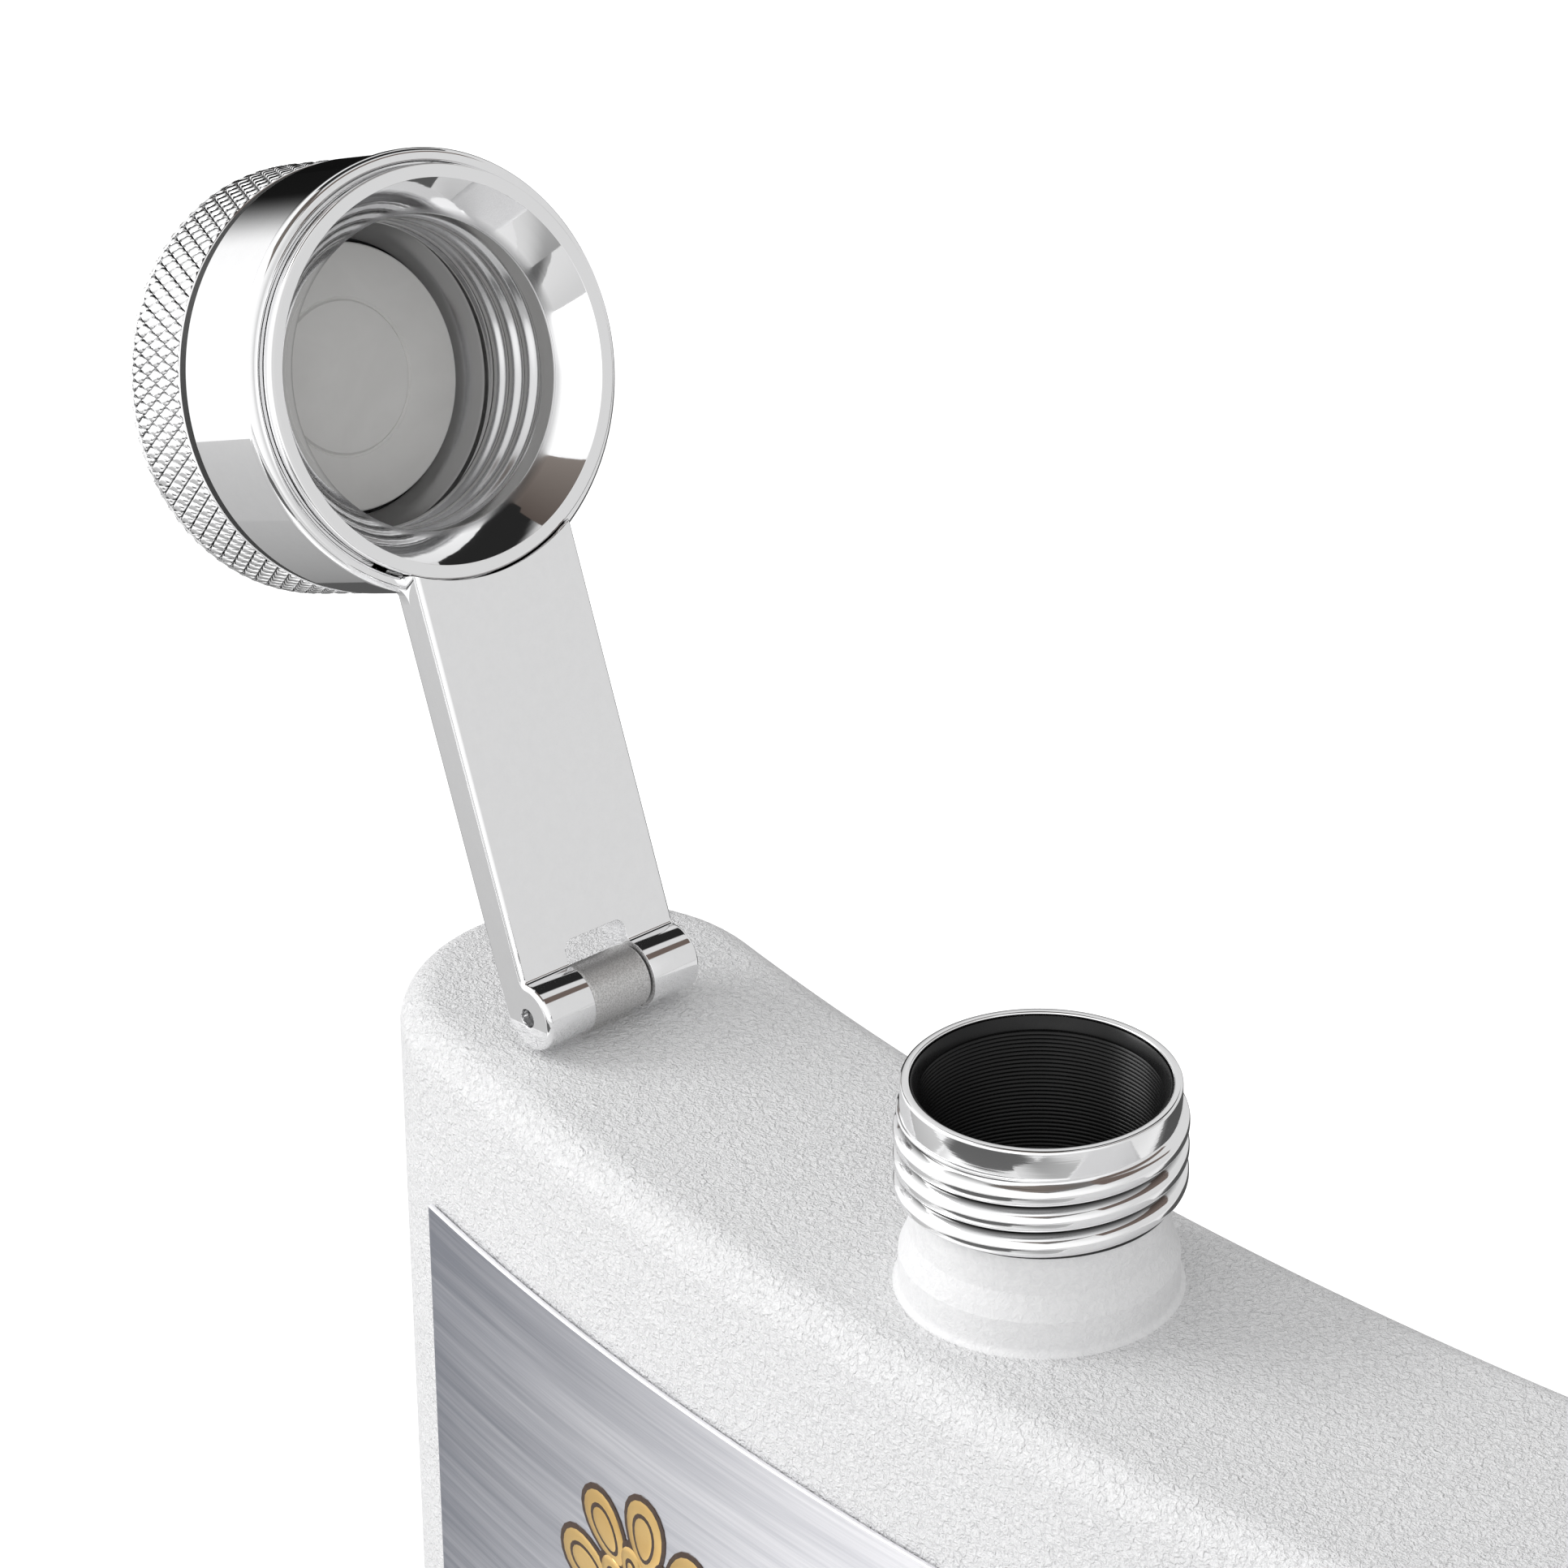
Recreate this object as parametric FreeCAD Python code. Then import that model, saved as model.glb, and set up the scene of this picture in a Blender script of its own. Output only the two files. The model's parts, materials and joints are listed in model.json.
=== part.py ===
import FreeCAD, Part

import math
import os

# Hip flask: a curved, coated steel bottle with a threaded neck and a screw cap that is captive
# in a hinged arm. Millimetres. The origin is at the middle of the base, +Z is up, the flask's
# width runs along X with the hinge at -X, and the labelled, convex face looks towards -Y.

V = FreeCAD.Vector

# ---- flask body -------------------------------------------------------------------------
flask_width = 100.0
flask_depth = 22.3          # front to back, through the middle
flask_height = 130.0
front_radius = 200.5        # convex front wall, in plan
back_radius = 213.7         # concave back wall, in plan
edge_radius = 2.2           # rounded edge of the top and of the base
sheet = 0.7                 # thickness of the steel sheet with its coating
seam_height = 6.0           # the end pans meet the wall this far from either end

# ---- neck -------------------------------------------------------------------------------
neck_radius = 6.75          # outside of the coated neck tube
neck_wall = 0.25
neck_below = 1.5            # the tube reaches this far below the flask's top face
collar_radius = 7.29        # thicker foot of the neck tube
collar_height = 1.9
collar_bevel = 1.4
collar_fillet = 0.4
rim_height = 12.0           # top of the neck above the flask's top face
rim_radius = 7.22
rim_wall = 0.5
rim_band = 1.6              # plain band between the rim and the thread
thread_start = 5.6          # lower end of the threaded sleeve above the flask's top face
thread_pitch = 1.5
male_crest = 7.6
male_root = 7.05
slip = 0.02                 # clearance between pieces that slide together for good

# ---- pouring liner ----------------------------------------------------------------------
liner_wall = 0.2
liner_flange = 0.5          # height of the liner's flange under the rim
liner_below = 2.5
liner_drop = 0.15           # the flange lies this far below the rim

# ---- hinge ------------------------------------------------------------------------------
hinge_to_neck = 35.3
arm_yaw = -2.1              # degrees, so that the arm points from the hinge to the neck
hinge_height = 2.35         # axis above the flask's top face
knuckle_radius = 1.95
barrel_length = 10.8
lug_radius = 1.8
lug_length = 4.0
lug_gap = 0.12              # end clearance on each side of the lug
pin_radius = 0.55
pin_clearance = 0.05
pin_recess = 0.5
knuckle_round = 0.5
open_angle = 110.4          # degrees from closed in the stored pose

# ---- arm and ring -----------------------------------------------------------------------
arm_face = 0.35             # the face that looks at the flask when closed, below the axis
notch_gap = 1.5             # notch beyond the lug
notch_corner = 0.6
ring_radius = 12.0
bead_radius = 12.18
bead_low = 0.8              # heights are measured from the hinge axis, closed, away from the flask
bead_high = 1.5
ring_top = 7.25
ring_web = 1.5              # fillet between the arm and the ring, in plan
shoulder_at = 2.95          # shoulder inside the ring that traps the cap
swivel_clearance = 0.1

# ---- cap --------------------------------------------------------------------------------
mouth_radius = 11.27        # outside of the bush's flange
mouth_inner = 10.5
mouth_level = -0.05
mouth_bevel = 1.85          # depth and width of the 45 degree lead-in
flange_depth = 2.6
bush_radius = 10.35
female_crest = 8.45
female_root = 8.85
female_start = 3.3
female_turns = 3.7
cavity_depth = 12.2
head_start = 7.7
head_end = 13.4
head_radius = 12.0
head_round = 0.9
washer_radius = 11.7
washer_play = 0.05
seal_radius = 7.5
seal_thickness = 1.2
seal_gap = 0.08             # between the seal and the neck's rim, closed

# ---- label ------------------------------------------------------------------------------
label_width = 81.6
label_margin = 10.6         # from the flask's top face, and from its base
glue_thickness = 0.1
label_thickness = 0.35
ornament_thickness = 0.25
rosette_offset = 19.2       # sideways from the middle of the label
rosette_drop = 26.4         # below the flask's top face
rosette_radius = 8.0
petal_count = 9
garland_sag = 11.0
garland_width = 1.6


def revolve(profile, centre=V(0, 0, 0)):
    """Solid turned about the vertical line through centre, from (radius, height) points."""
    points = [V(r, 0, z) + centre for r, z in profile]
    face = Part.Face(Part.makePolygon(points + points[:1]))
    return face.revolve(centre, V(0, 0, 1), 360)


def tube(inner, outer, low, high, centre=V(0, 0, 0)):
    """Plain ring of rectangular section."""
    return revolve([(inner, low), (outer, low), (outer, high), (inner, high)], centre)


def rod(radius, low, high, centre=V(0, 0, 0)):
    """Plain vertical cylinder."""
    return Part.makeCylinder(radius, high - low, centre + V(0, 0, low))


def edges_at(shape, height):
    """Edges that lie wholly at one height."""
    return [e for e in shape.Edges
            if abs(e.BoundBox.ZMin - height) < 1e-4 and abs(e.BoundBox.ZMax - height) < 1e-4]


def write(name, shape):
    """One STEP file for one piece."""
    print(f"{name}: {len(shape.Solids)} solid(s), {shape.Volume:.1f} mm3, valid {shape.isValid()}")
    shape.exportStep(f"parts/{name}.step")


# ---- plan outline of the flask ------------------------------------------------------------

front_centre = V(0, front_radius - flask_depth / 2, 0)
back_centre = V(0, back_radius + flask_depth / 2, 0)


def end_circle():
    """Centre and radius of the round end, which touches the front and the back wall."""
    radius, y = flask_depth / 2, 0.0
    for _ in range(60):
        x = flask_width / 2 - radius
        to_front = front_radius - math.hypot(x, y - front_centre.y)
        to_back = math.hypot(x, y - back_centre.y) - back_radius
        y += (to_back - to_front) / 2
        radius = (to_back + to_front) / 2
    return V(x, y, 0), radius


end_centre, end_radius = end_circle()


def outline(inset, height):
    """Closed plan wire of the flask, moved inwards by inset."""
    def mirrored(p):
        return V(-p.x, p.y, p.z)

    up = V(0, 0, height)
    to_front = (end_centre - front_centre).normalize()
    to_back = (end_centre - back_centre).normalize()
    front = front_centre + to_front * (front_radius - inset) + up
    back = back_centre + to_back * (back_radius + inset) + up
    tip = end_centre + V(end_radius - inset, 0, height)
    front_middle = V(0, inset - flask_depth / 2, height)
    back_middle = V(0, flask_depth / 2 - inset, height)
    arcs = [
        Part.Arc(mirrored(front), front_middle, front),
        Part.Arc(front, tip, back),
        Part.Arc(back, back_middle, mirrored(back)),
        Part.Arc(mirrored(back), mirrored(tip), mirrored(front)),
    ]
    return Part.Wire([a.toShape() for a in arcs])


def rounded_block(inset):
    """The flask's outer form, or its cavity, with rounded top and bottom edges."""
    height = flask_height - 2 * inset
    block = Part.Face(outline(inset, inset)).extrude(V(0, 0, height))
    edges = edges_at(block, inset) + edges_at(block, inset + height)
    return block.makeFillet(edge_radius - inset, edges)


def slab(low, high):
    """Box wider than the flask between two heights."""
    size = 2 * flask_width
    return Part.makeBox(size, size, high - low, V(-size / 2, -size / 2, low))


# ---- flask pieces -------------------------------------------------------------------------

def make_body():
    shell = rounded_block(0).cut(rounded_block(sheet))
    low, high = seam_height, flask_height - seam_height
    write("body_wall", shell.common(slab(low, high)))
    write("bottom_pan", shell.common(slab(-1, low)))
    hole = rod(neck_radius, high, flask_height + 1)
    write("top_pan", shell.common(slab(high, flask_height + 1)).cut(hole))


def make_neck_tube():
    top = rim_height - liner_flange - liner_drop
    foot = collar_radius + collar_fillet
    profile = [
        (neck_radius - neck_wall, -neck_below),
        (neck_radius, -neck_below),
        (neck_radius, 0),
        (foot, 0),
    ]
    for step in range(1, 5):
        turn = math.radians(90 * step / 4)
        profile.append((foot - collar_fillet * math.sin(turn), collar_fillet * (1 - math.cos(turn))))
    profile += [
        (collar_radius, collar_height),
        (neck_radius, collar_height + collar_bevel),
        (neck_radius, top),
        (neck_radius - neck_wall, top),
    ]
    write("neck_tube", revolve(profile, V(0, 0, flask_height)))


def helical_ridge(root, crest, half_width, low, turns, centre):
    """Rounded ridge that winds up the axis; crest may lie inside or outside root."""
    sunk = root - 0.1 if crest > root else root + 0.1
    points = [V(sunk, 0, low - half_width), V(crest, 0, low), V(sunk, 0, low + half_width)]
    profile = Part.Wire([
        Part.Arc(*[p + centre for p in points]).toShape(),
        Part.LineSegment(points[2] + centre, points[0] + centre).toShape(),
    ])
    helix = Part.makeHelix(thread_pitch, thread_pitch * turns, root)
    helix.translate(centre + V(0, 0, low))
    return Part.Wire(helix.Edges).makePipeShell([profile], True, True)


def make_neck_thread():
    top = V(0, 0, flask_height)
    bore = neck_radius + slip
    lip = rim_radius - rim_wall
    band = rim_height - rim_band
    sleeve = revolve([
        (bore, thread_start),
        (male_root, thread_start),
        (male_root, band - 0.2),
        (rim_radius, band),
        (rim_radius, rim_height - 0.2),
        (rim_radius - 0.15, rim_height),
        (lip + 0.1, rim_height),
        (lip, rim_height - 0.1),
        (lip, rim_height - liner_drop),
        (bore, rim_height - liner_drop),
    ], top)
    half = thread_pitch * 0.47
    room = band - 0.2 - thread_start - 2 * half
    ridge = helical_ridge(male_root, male_crest, half, thread_start + half, room / thread_pitch, top)
    write("neck_thread", sleeve.fuse(ridge).removeSplitter())


def liner_bore():
    return neck_radius - neck_wall - slip - liner_wall


def make_liner():
    flange_top = rim_height - liner_drop
    flange_low = flange_top - liner_flange
    outer = neck_radius - neck_wall - slip
    write("pour_liner", revolve([
        (liner_bore(), -liner_below),
        (outer, -liner_below),
        (outer, flange_low),
        (neck_radius, flange_low),
        (neck_radius, flange_top),
        (rim_radius - rim_wall - 0.05, flange_top),
        (liner_bore(), flange_low - 0.1),
    ], V(0, 0, flask_height)))


def front_shell(inner, outer, half_width, low, high):
    """Curved plate on the front wall, between two distances from that wall."""
    corners = []
    for offset in (inner, outer):
        radius = front_radius + offset
        side = math.sqrt(radius ** 2 - half_width ** 2)
        corners.append([
            V(-half_width, front_centre.y - side, low),
            V(0, front_centre.y - radius, low),
            V(half_width, front_centre.y - side, low),
        ])
    near, far = corners
    wire = Part.Wire([
        Part.Arc(*near).toShape(),
        Part.LineSegment(near[2], far[2]).toShape(),
        Part.Arc(*far[::-1]).toShape(),
        Part.LineSegment(far[0], near[0]).toShape(),
    ])
    return Part.Face(wire).extrude(V(0, 0, high - low))


def make_label():
    half = label_width / 2
    low, high = label_margin, flask_height - label_margin
    outer = glue_thickness + label_thickness
    write("label_glue", front_shell(0, glue_thickness, half - 0.5, low + 0.5, high - 0.5))
    write("label_plate", front_shell(glue_thickness, outer, half, low, high))

    # Two rosettes and a hanging garland, cut from flat forms and laid on the curved plate.
    level = flask_height - rosette_drop

    def disc(x, z, radius):
        return Part.makeCylinder(radius, 2 * flask_depth, V(x, -1.5 * flask_depth, z), V(0, 1, 0))

    petal = rosette_radius * math.sin(math.pi / petal_count) * 0.92
    flat = []
    for side in (-1, 1):
        rosette = disc(side * rosette_offset, level, rosette_radius - petal)
        for k in range(petal_count):
            turn = math.radians(90) + 2 * math.pi * k / petal_count
            ring = rosette_radius - petal
            x = side * (rosette_offset - ring * math.cos(turn))
            rosette = rosette.fuse(disc(x, level + ring * math.sin(turn), petal))
        flat.append(rosette)
    gap = rosette_offset - rosette_radius - 1.0
    arch = (gap ** 2 + garland_sag ** 2) / (2 * garland_sag)
    centre_z = level - garland_sag + arch
    garland = disc(0, centre_z, arch).cut(disc(0, centre_z + garland_width, arch + 0.2))
    flat.append(garland.cut(slab(level - 1.0, level + 4 * arch)))
    skin = front_shell(outer, outer + ornament_thickness, half - 2, low + 2, high - 2)
    pieces = []
    for form in flat:
        pieces += form.common(skin).Solids
    write("label_ornament", Part.makeCompound(pieces))


# ---- hinge and arm, modelled closed: +X from the hinge to the neck, +Z away from the flask ----

def placed(shape, opened):
    """Move a piece from the closed, hinge-centred frame to its place on the flask."""
    shape = shape.copy()
    if opened:
        shape.rotate(V(0, 0, 0), V(0, 1, 0), -open_angle)
    shape.rotate(V(0, 0, 0), V(0, 0, 1), arm_yaw)
    yaw = math.radians(arm_yaw)
    hinge = V(-hinge_to_neck * math.cos(yaw), -hinge_to_neck * math.sin(yaw), flask_height + hinge_height)
    shape.translate(hinge)
    return shape


def across(radius, length):
    """Cylinder along the hinge axis, centred on the arm."""
    return Part.makeCylinder(radius, length, V(0, -length / 2, 0), V(0, 1, 0))


def make_lug():
    foot = Part.makeBox(2 * lug_radius, lug_length, hinge_height, V(-lug_radius, -lug_length / 2, -hinge_height))
    lug = across(lug_radius, lug_length).fuse(foot).cut(across(pin_radius + pin_clearance, barrel_length))
    write("hinge_lug", placed(lug.removeSplitter(), False))


def make_pin():
    pin = across(pin_radius, barrel_length - 2 * pin_recess)
    write("hinge_pin", placed(pin.makeChamfer(0.1, pin.Edges[0:1] + pin.Edges[2:3]), True))


axis_of_cap = V(hinge_to_neck, 0, 0)


def arm_bar():
    """Flat bar that runs into the hinge barrel, rounded along its sides."""
    concave = 0.3
    end = hinge_to_neck - ring_radius / 2
    reach = knuckle_radius + concave
    centre_x = math.sqrt(reach ** 2 - (arm_face + concave) ** 2)
    centre = V(centre_x, 0, -arm_face - concave)
    touch = centre * (knuckle_radius / reach)
    halfway = (math.atan2(-touch.z, touch.x) + 1.5 * math.pi) / 2
    around = V(knuckle_radius * math.cos(halfway), 0, -knuckle_radius * math.sin(halfway))
    middle = centre + (V(centre_x, 0, -arm_face) - centre + touch - centre).normalize() * concave
    start = V(centre_x, 0, -arm_face)
    wire = Part.Wire([
        Part.LineSegment(V(end, 0, -arm_face), start).toShape(),
        Part.Arc(start, middle, touch).toShape(),
        Part.Arc(touch, around, V(0, 0, knuckle_radius)).toShape(),
        Part.LineSegment(V(0, 0, knuckle_radius), V(end, 0, knuckle_radius)).toShape(),
        Part.LineSegment(V(end, 0, knuckle_radius), V(end, 0, -arm_face)).toShape(),
    ])
    wire.translate(V(0, -barrel_length / 2, 0))
    bar = Part.Face(wire).extrude(V(0, barrel_length, 0))
    sides = [e for e in bar.Edges
             if e.BoundBox.YLength < 1e-4 and e.BoundBox.XMin < end - 1e-3]
    return bar.makeFillet(knuckle_round, sides)


def arm_web(side):
    """Filled concave corner between the bar's side and the ring."""
    half = barrel_length / 2
    centre_y = half + ring_web
    reach = ring_radius + ring_web
    centre_x = hinge_to_neck - math.sqrt(reach ** 2 - centre_y ** 2)
    centre = V(centre_x, side * centre_y, 0)
    on_bar = V(centre_x, side * half, 0)
    on_ring = centre + (axis_of_cap - centre).normalize() * ring_web
    inward = (on_bar - centre + on_ring - centre).normalize() * ring_web
    inside = V(on_ring.x, side * (half - 1), 0)
    wire = Part.Wire([
        Part.Arc(on_bar, centre + inward, on_ring).toShape(),
        Part.LineSegment(on_ring, inside).toShape(),
        Part.LineSegment(inside, V(on_bar.x, side * (half - 1), 0)).toShape(),
        Part.LineSegment(V(on_bar.x, side * (half - 1), 0), on_bar).toShape(),
    ])
    wire.translate(V(0, 0, bead_low))
    return Part.Face(wire).extrude(V(0, 0, knuckle_radius - 0.3 - bead_low))


def make_arm():
    bore = mouth_radius + swivel_clearance
    ring = revolve([
        (bore, bead_low + 0.05),
        (bore + 0.15, bead_low),
        (bead_radius - 0.25, bead_low + 0.2),
        (bead_radius, bead_low + 0.45),
        (bead_radius, bead_high - 0.05),
        (ring_radius, bead_high + 0.05),
        (ring_radius, ring_top - 0.15),
        (ring_radius - 0.15, ring_top),
        (bush_radius + swivel_clearance, ring_top),
        (bush_radius + swivel_clearance, shoulder_at),
        (bore, shoulder_at),
    ], axis_of_cap)
    notch_end = lug_radius + notch_gap
    notch_width = lug_length + 2 * lug_gap
    depth = notch_end + 2 * knuckle_radius
    notch = Part.makeBox(depth, notch_width, 6 * knuckle_radius,
                         V(notch_end - depth, -notch_width / 2, -3 * knuckle_radius))
    corners = [e for e in notch.Edges
               if e.BoundBox.ZLength > 1 and abs(e.BoundBox.XMin - notch_end) < 1e-4]
    notch = notch.makeFillet(notch_corner, corners)
    bar = arm_bar().cut(rod(bore, -4, shoulder_at, axis_of_cap)).cut(notch)
    arm = bar.fuse(arm_web(1)).fuse(arm_web(-1)).fuse(ring)
    arm = arm.cut(across(pin_radius, 2 * barrel_length))
    write("hinge_arm", placed(arm.removeSplitter(), True))


# ---- cap, in the same closed frame --------------------------------------------------------

def make_bush():
    bevel_end = mouth_level + mouth_bevel
    throat = mouth_inner - mouth_bevel
    bush = revolve([
        (mouth_inner, mouth_level),
        (mouth_radius - 0.1, mouth_level),
        (mouth_radius, mouth_level + 0.1),
        (mouth_radius, flange_depth),
        (bush_radius, flange_depth),
        (bush_radius, cavity_depth),
        (female_root, cavity_depth),
        (female_root, female_start - 0.2),
        (throat, female_start - 0.4),
        (throat, bevel_end),
    ], axis_of_cap)
    half = thread_pitch * 0.36
    ridge = helical_ridge(female_root, female_crest, half, female_start + half, female_turns, axis_of_cap)
    write("cap_bush", placed(bush.fuse(ridge).removeSplitter(), True))


def seal_face():
    return rim_height - hinge_height + seal_gap


def make_head():
    seal_back = seal_face() + seal_thickness
    head = revolve([
        (0, seal_back),
        (seal_radius, seal_back),
        (seal_radius, cavity_depth),
        (bush_radius, cavity_depth),
        (bush_radius, head_start),
        (head_radius - 0.2, head_start),
        (head_radius, head_start + 0.2),
        (head_radius, head_end - head_round),
        (head_radius - head_round * 0.3, head_end - head_round * 0.3),
        (head_radius - head_round, head_end),
        (0, head_end),
    ], axis_of_cap)
    write("cap_head", placed(head, True))
    seal = rod(seal_radius, seal_face(), seal_back, axis_of_cap)
    write("seal_disc", placed(seal, True))


def make_washer():
    low, high = ring_top + washer_play, head_start
    write("swivel_washer", placed(tube(bush_radius, washer_radius, low, high, axis_of_cap), True))


os.makedirs("parts", exist_ok=True)
make_body()
make_neck_tube()
make_neck_thread()
make_liner()
make_label()
make_lug()
make_pin()
make_arm()
make_bush()
make_head()
make_washer()
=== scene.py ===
# %% [markdown]
# # An open hip flask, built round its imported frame
#
# A pocket flask is a curved bottle of thin steel with a powder coat, a turned and chromed neck, and a
# screw cap that can't be lost because it turns in the ring of a hinged arm. This lesson models what a
# maker would make: bent sheet as an extruded outline with rounded edges, turned parts as spun profiles,
# the arm as a milled bar joined to a ring. The frame gives the places, so nothing is fitted by eye.

# %% Load the frame
import json
import math

import bmesh
import bpy
from mathutils import Matrix, Vector


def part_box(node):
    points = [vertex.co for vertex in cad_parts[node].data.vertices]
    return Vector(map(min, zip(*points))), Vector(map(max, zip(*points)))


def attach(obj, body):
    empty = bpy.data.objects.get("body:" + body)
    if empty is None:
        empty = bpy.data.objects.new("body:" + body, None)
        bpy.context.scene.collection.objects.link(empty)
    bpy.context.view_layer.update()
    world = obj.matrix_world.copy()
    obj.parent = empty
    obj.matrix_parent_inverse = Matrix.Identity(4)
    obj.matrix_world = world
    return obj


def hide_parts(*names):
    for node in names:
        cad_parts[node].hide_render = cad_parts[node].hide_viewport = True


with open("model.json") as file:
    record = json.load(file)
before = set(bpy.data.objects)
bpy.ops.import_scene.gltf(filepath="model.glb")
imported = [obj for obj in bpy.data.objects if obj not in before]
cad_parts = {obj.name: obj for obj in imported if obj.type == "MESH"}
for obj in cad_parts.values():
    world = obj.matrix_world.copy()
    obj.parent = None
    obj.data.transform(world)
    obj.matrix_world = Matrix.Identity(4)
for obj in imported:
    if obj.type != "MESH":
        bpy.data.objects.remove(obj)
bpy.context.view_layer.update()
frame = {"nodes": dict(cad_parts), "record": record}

scene = bpy.context.scene
scene.view_settings.view_transform = "Standard"

# %% [markdown]
# ## Camera
#
# A camera on a long lens stands close in front of the right shoulder of the flask and looks down on
# it. Azimuth, height and distance are measured from the middle of the neck's foot, and the two small
# sideways offsets say how far the flask sits from the middle of the view.

# %% Camera
MM = 0.001
top_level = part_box("top_pan")[1][2] / MM
lens_length = 142.48
azimuth, elevation, roll = (math.radians(a) for a in (47.234, 28.017, -0.626))
camera_distance, offset_right, offset_up = 320.72, -12.9, 25.7

backwards = Vector((
    math.sin(azimuth) * math.cos(elevation),
    -math.cos(azimuth) * math.cos(elevation),
    math.sin(elevation),
))
rightwards = Vector((math.cos(azimuth), math.sin(azimuth), 0))
upwards = backwards.cross(rightwards)
spot = backwards * camera_distance + rightwards * offset_right + upwards * offset_up
spot.z += top_level

across = rightwards * math.cos(roll) + upwards * math.sin(roll)
upright = upwards * math.cos(roll) - rightwards * math.sin(roll)
turned_axes = Matrix((across, upright, backwards)).transposed().to_4x4()

camera_data = bpy.data.cameras.new("camera")
camera_data.lens = lens_length
camera_data.clip_start = 0.01
camera = bpy.data.objects.new("camera", camera_data)
camera.matrix_world = Matrix.Translation(spot * MM) @ turned_axes
scene.collection.objects.link(camera)
scene.camera = camera
print("camera at", [round(c, 1) for c in spot], "mm")

# %% [markdown]
# ## Shared helpers
#
# Every piece is modelled in millimetres and set in metres at the end, with its place in its mesh. A
# turned part is a profile of corners, each with its rounding, spun round an axis. Rounding the corners
# in the profile gives the same crisp highlights as a bevel, and costs only a few vertices.

# %% Finish a piece
def as_object(bm, name):
    """Puts a bmesh into the scene as a new object and frees it."""
    mesh = bpy.data.meshes.new(name)
    bm.to_mesh(mesh)
    bm.free()
    made = bpy.data.objects.new(name, mesh)
    scene.collection.objects.link(made)
    return made


def finish_piece(bm, name, body, nodes, material, place=None, sharp=32, weighted=True):
    """Turns a bmesh in millimetres into a finished piece that rides on a body."""
    if place is not None:
        bm.transform(place)
    bm.transform(Matrix.Scale(MM, 4))
    piece = as_object(bm, name)
    mesh = piece.data
    mesh.shade_smooth()
    mesh.set_sharp_from_angle(angle=math.radians(sharp))
    mesh.materials.append(material)
    if weighted:
        normals = piece.modifiers.new("flat_faces_stay_flat", "WEIGHTED_NORMAL")
        normals.keep_sharp = True
    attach(piece, body)
    if nodes:
        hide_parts(*nodes)
    print(name, len(mesh.polygons), "faces")


# %% Round the corners of a profile
def rounded(corners, closed=True, steps=5):
    """Points of a profile; a corner is (radius, height) or (radius, height, rounding)."""
    points = []
    count = len(corners)
    for i, corner in enumerate(corners):
        here = Vector(corner[:2])
        rounding = corner[2] if len(corner) > 2 else 0
        if rounding == 0 or (not closed and i in (0, count - 1)):
            points.append(here)
            continue
        back = (Vector(corners[i - 1][:2]) - here).normalized()
        ahead = (Vector(corners[(i + 1) % count][:2]) - here).normalized()
        half = back.angle(ahead) / 2
        reach = rounding / math.tan(half)
        centre = here + (back + ahead).normalized() * (rounding / math.sin(half))
        first = here + back * reach - centre
        last = here + ahead * reach - centre
        sweep = math.atan2(first.x * last.y - first.y * last.x, first.dot(last))
        for k in range(steps + 1):
            turn = Matrix.Rotation(sweep * k / steps, 2)
            points.append(centre + turn @ first)
    return points


# %% Spin a profile
def turned(points, closed=True, steps=192):
    """A turned part round the Z axis."""
    bm = bmesh.new()
    verts = [bm.verts.new((p[0], 0, p[1])) for p in points]
    ends = verts[1:] + verts[:1] if closed else verts[1:]
    edges = [bm.edges.new(pair) for pair in zip(verts, ends)]
    bmesh.ops.spin(
        bm, geom=verts + edges, cent=(0, 0, 0), axis=(0, 0, 1), dvec=(0, 0, 0),
        angle=math.tau, steps=steps, use_merge=True, use_duplicate=False)
    bmesh.ops.remove_doubles(bm, verts=bm.verts, dist=1e-4)
    bmesh.ops.recalc_face_normals(bm, faces=bm.faces)
    return bm


def straight(start, end, rows):
    """Evenly spaced points from start to end, without the end."""
    a, b = Vector(start), Vector(end)
    return [a.lerp(b, k / rows) for k in range(rows)]


# %% Apply a modifier, join and cut
def discard(operand):
    mesh = operand.data
    bpy.data.objects.remove(operand)
    bpy.data.meshes.remove(mesh)


def applied(bm, kind, **values):
    """The mesh with one modifier applied."""
    operand = as_object(bm, "operand")
    step = operand.modifiers.new("step", kind)
    for key, value in values.items():
        setattr(step, key, value)
    graph = bpy.context.evaluated_depsgraph_get()
    result = bmesh.new()
    result.from_mesh(operand.evaluated_get(graph).to_mesh())
    discard(operand)
    return result


def combined(bm, other, operation):
    """Boolean of two closed meshes."""
    tool = as_object(other, "tool")
    result = applied(bm, "BOOLEAN", operation=operation, solver="EXACT", object=tool)
    discard(tool)
    bmesh.ops.remove_doubles(result, verts=result.verts, dist=1e-4)
    return result


def new_verts(made):
    return [v for v in made["geom"] if isinstance(v, bmesh.types.BMVert)]


# %% Arcs, solids and bevels
def sweep(bm, vert, centre, angle, steps, axis=(0, 0, 1)):
    """Spins one vertex into an arc of edges and returns its last vertex."""
    made = bmesh.ops.spin(
        bm, geom=[vert], cent=centre, axis=axis, dvec=(0, 0, 0), angle=angle, steps=steps,
        use_merge=False, use_duplicate=False)
    return [g for g in made["geom_last"] if isinstance(g, bmesh.types.BMVert)][0]


def fill_and_extrude(bm, along):
    """Fills a loop of edges and extrudes the face along a vector into a solid."""
    face = bmesh.ops.contextual_create(bm, geom=bm.edges[:])["faces"]
    made = bmesh.ops.extrude_face_region(bm, geom=face)
    bmesh.ops.translate(bm, verts=new_verts(made), vec=along)
    bmesh.ops.recalc_face_normals(bm, faces=bm.faces)


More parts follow.
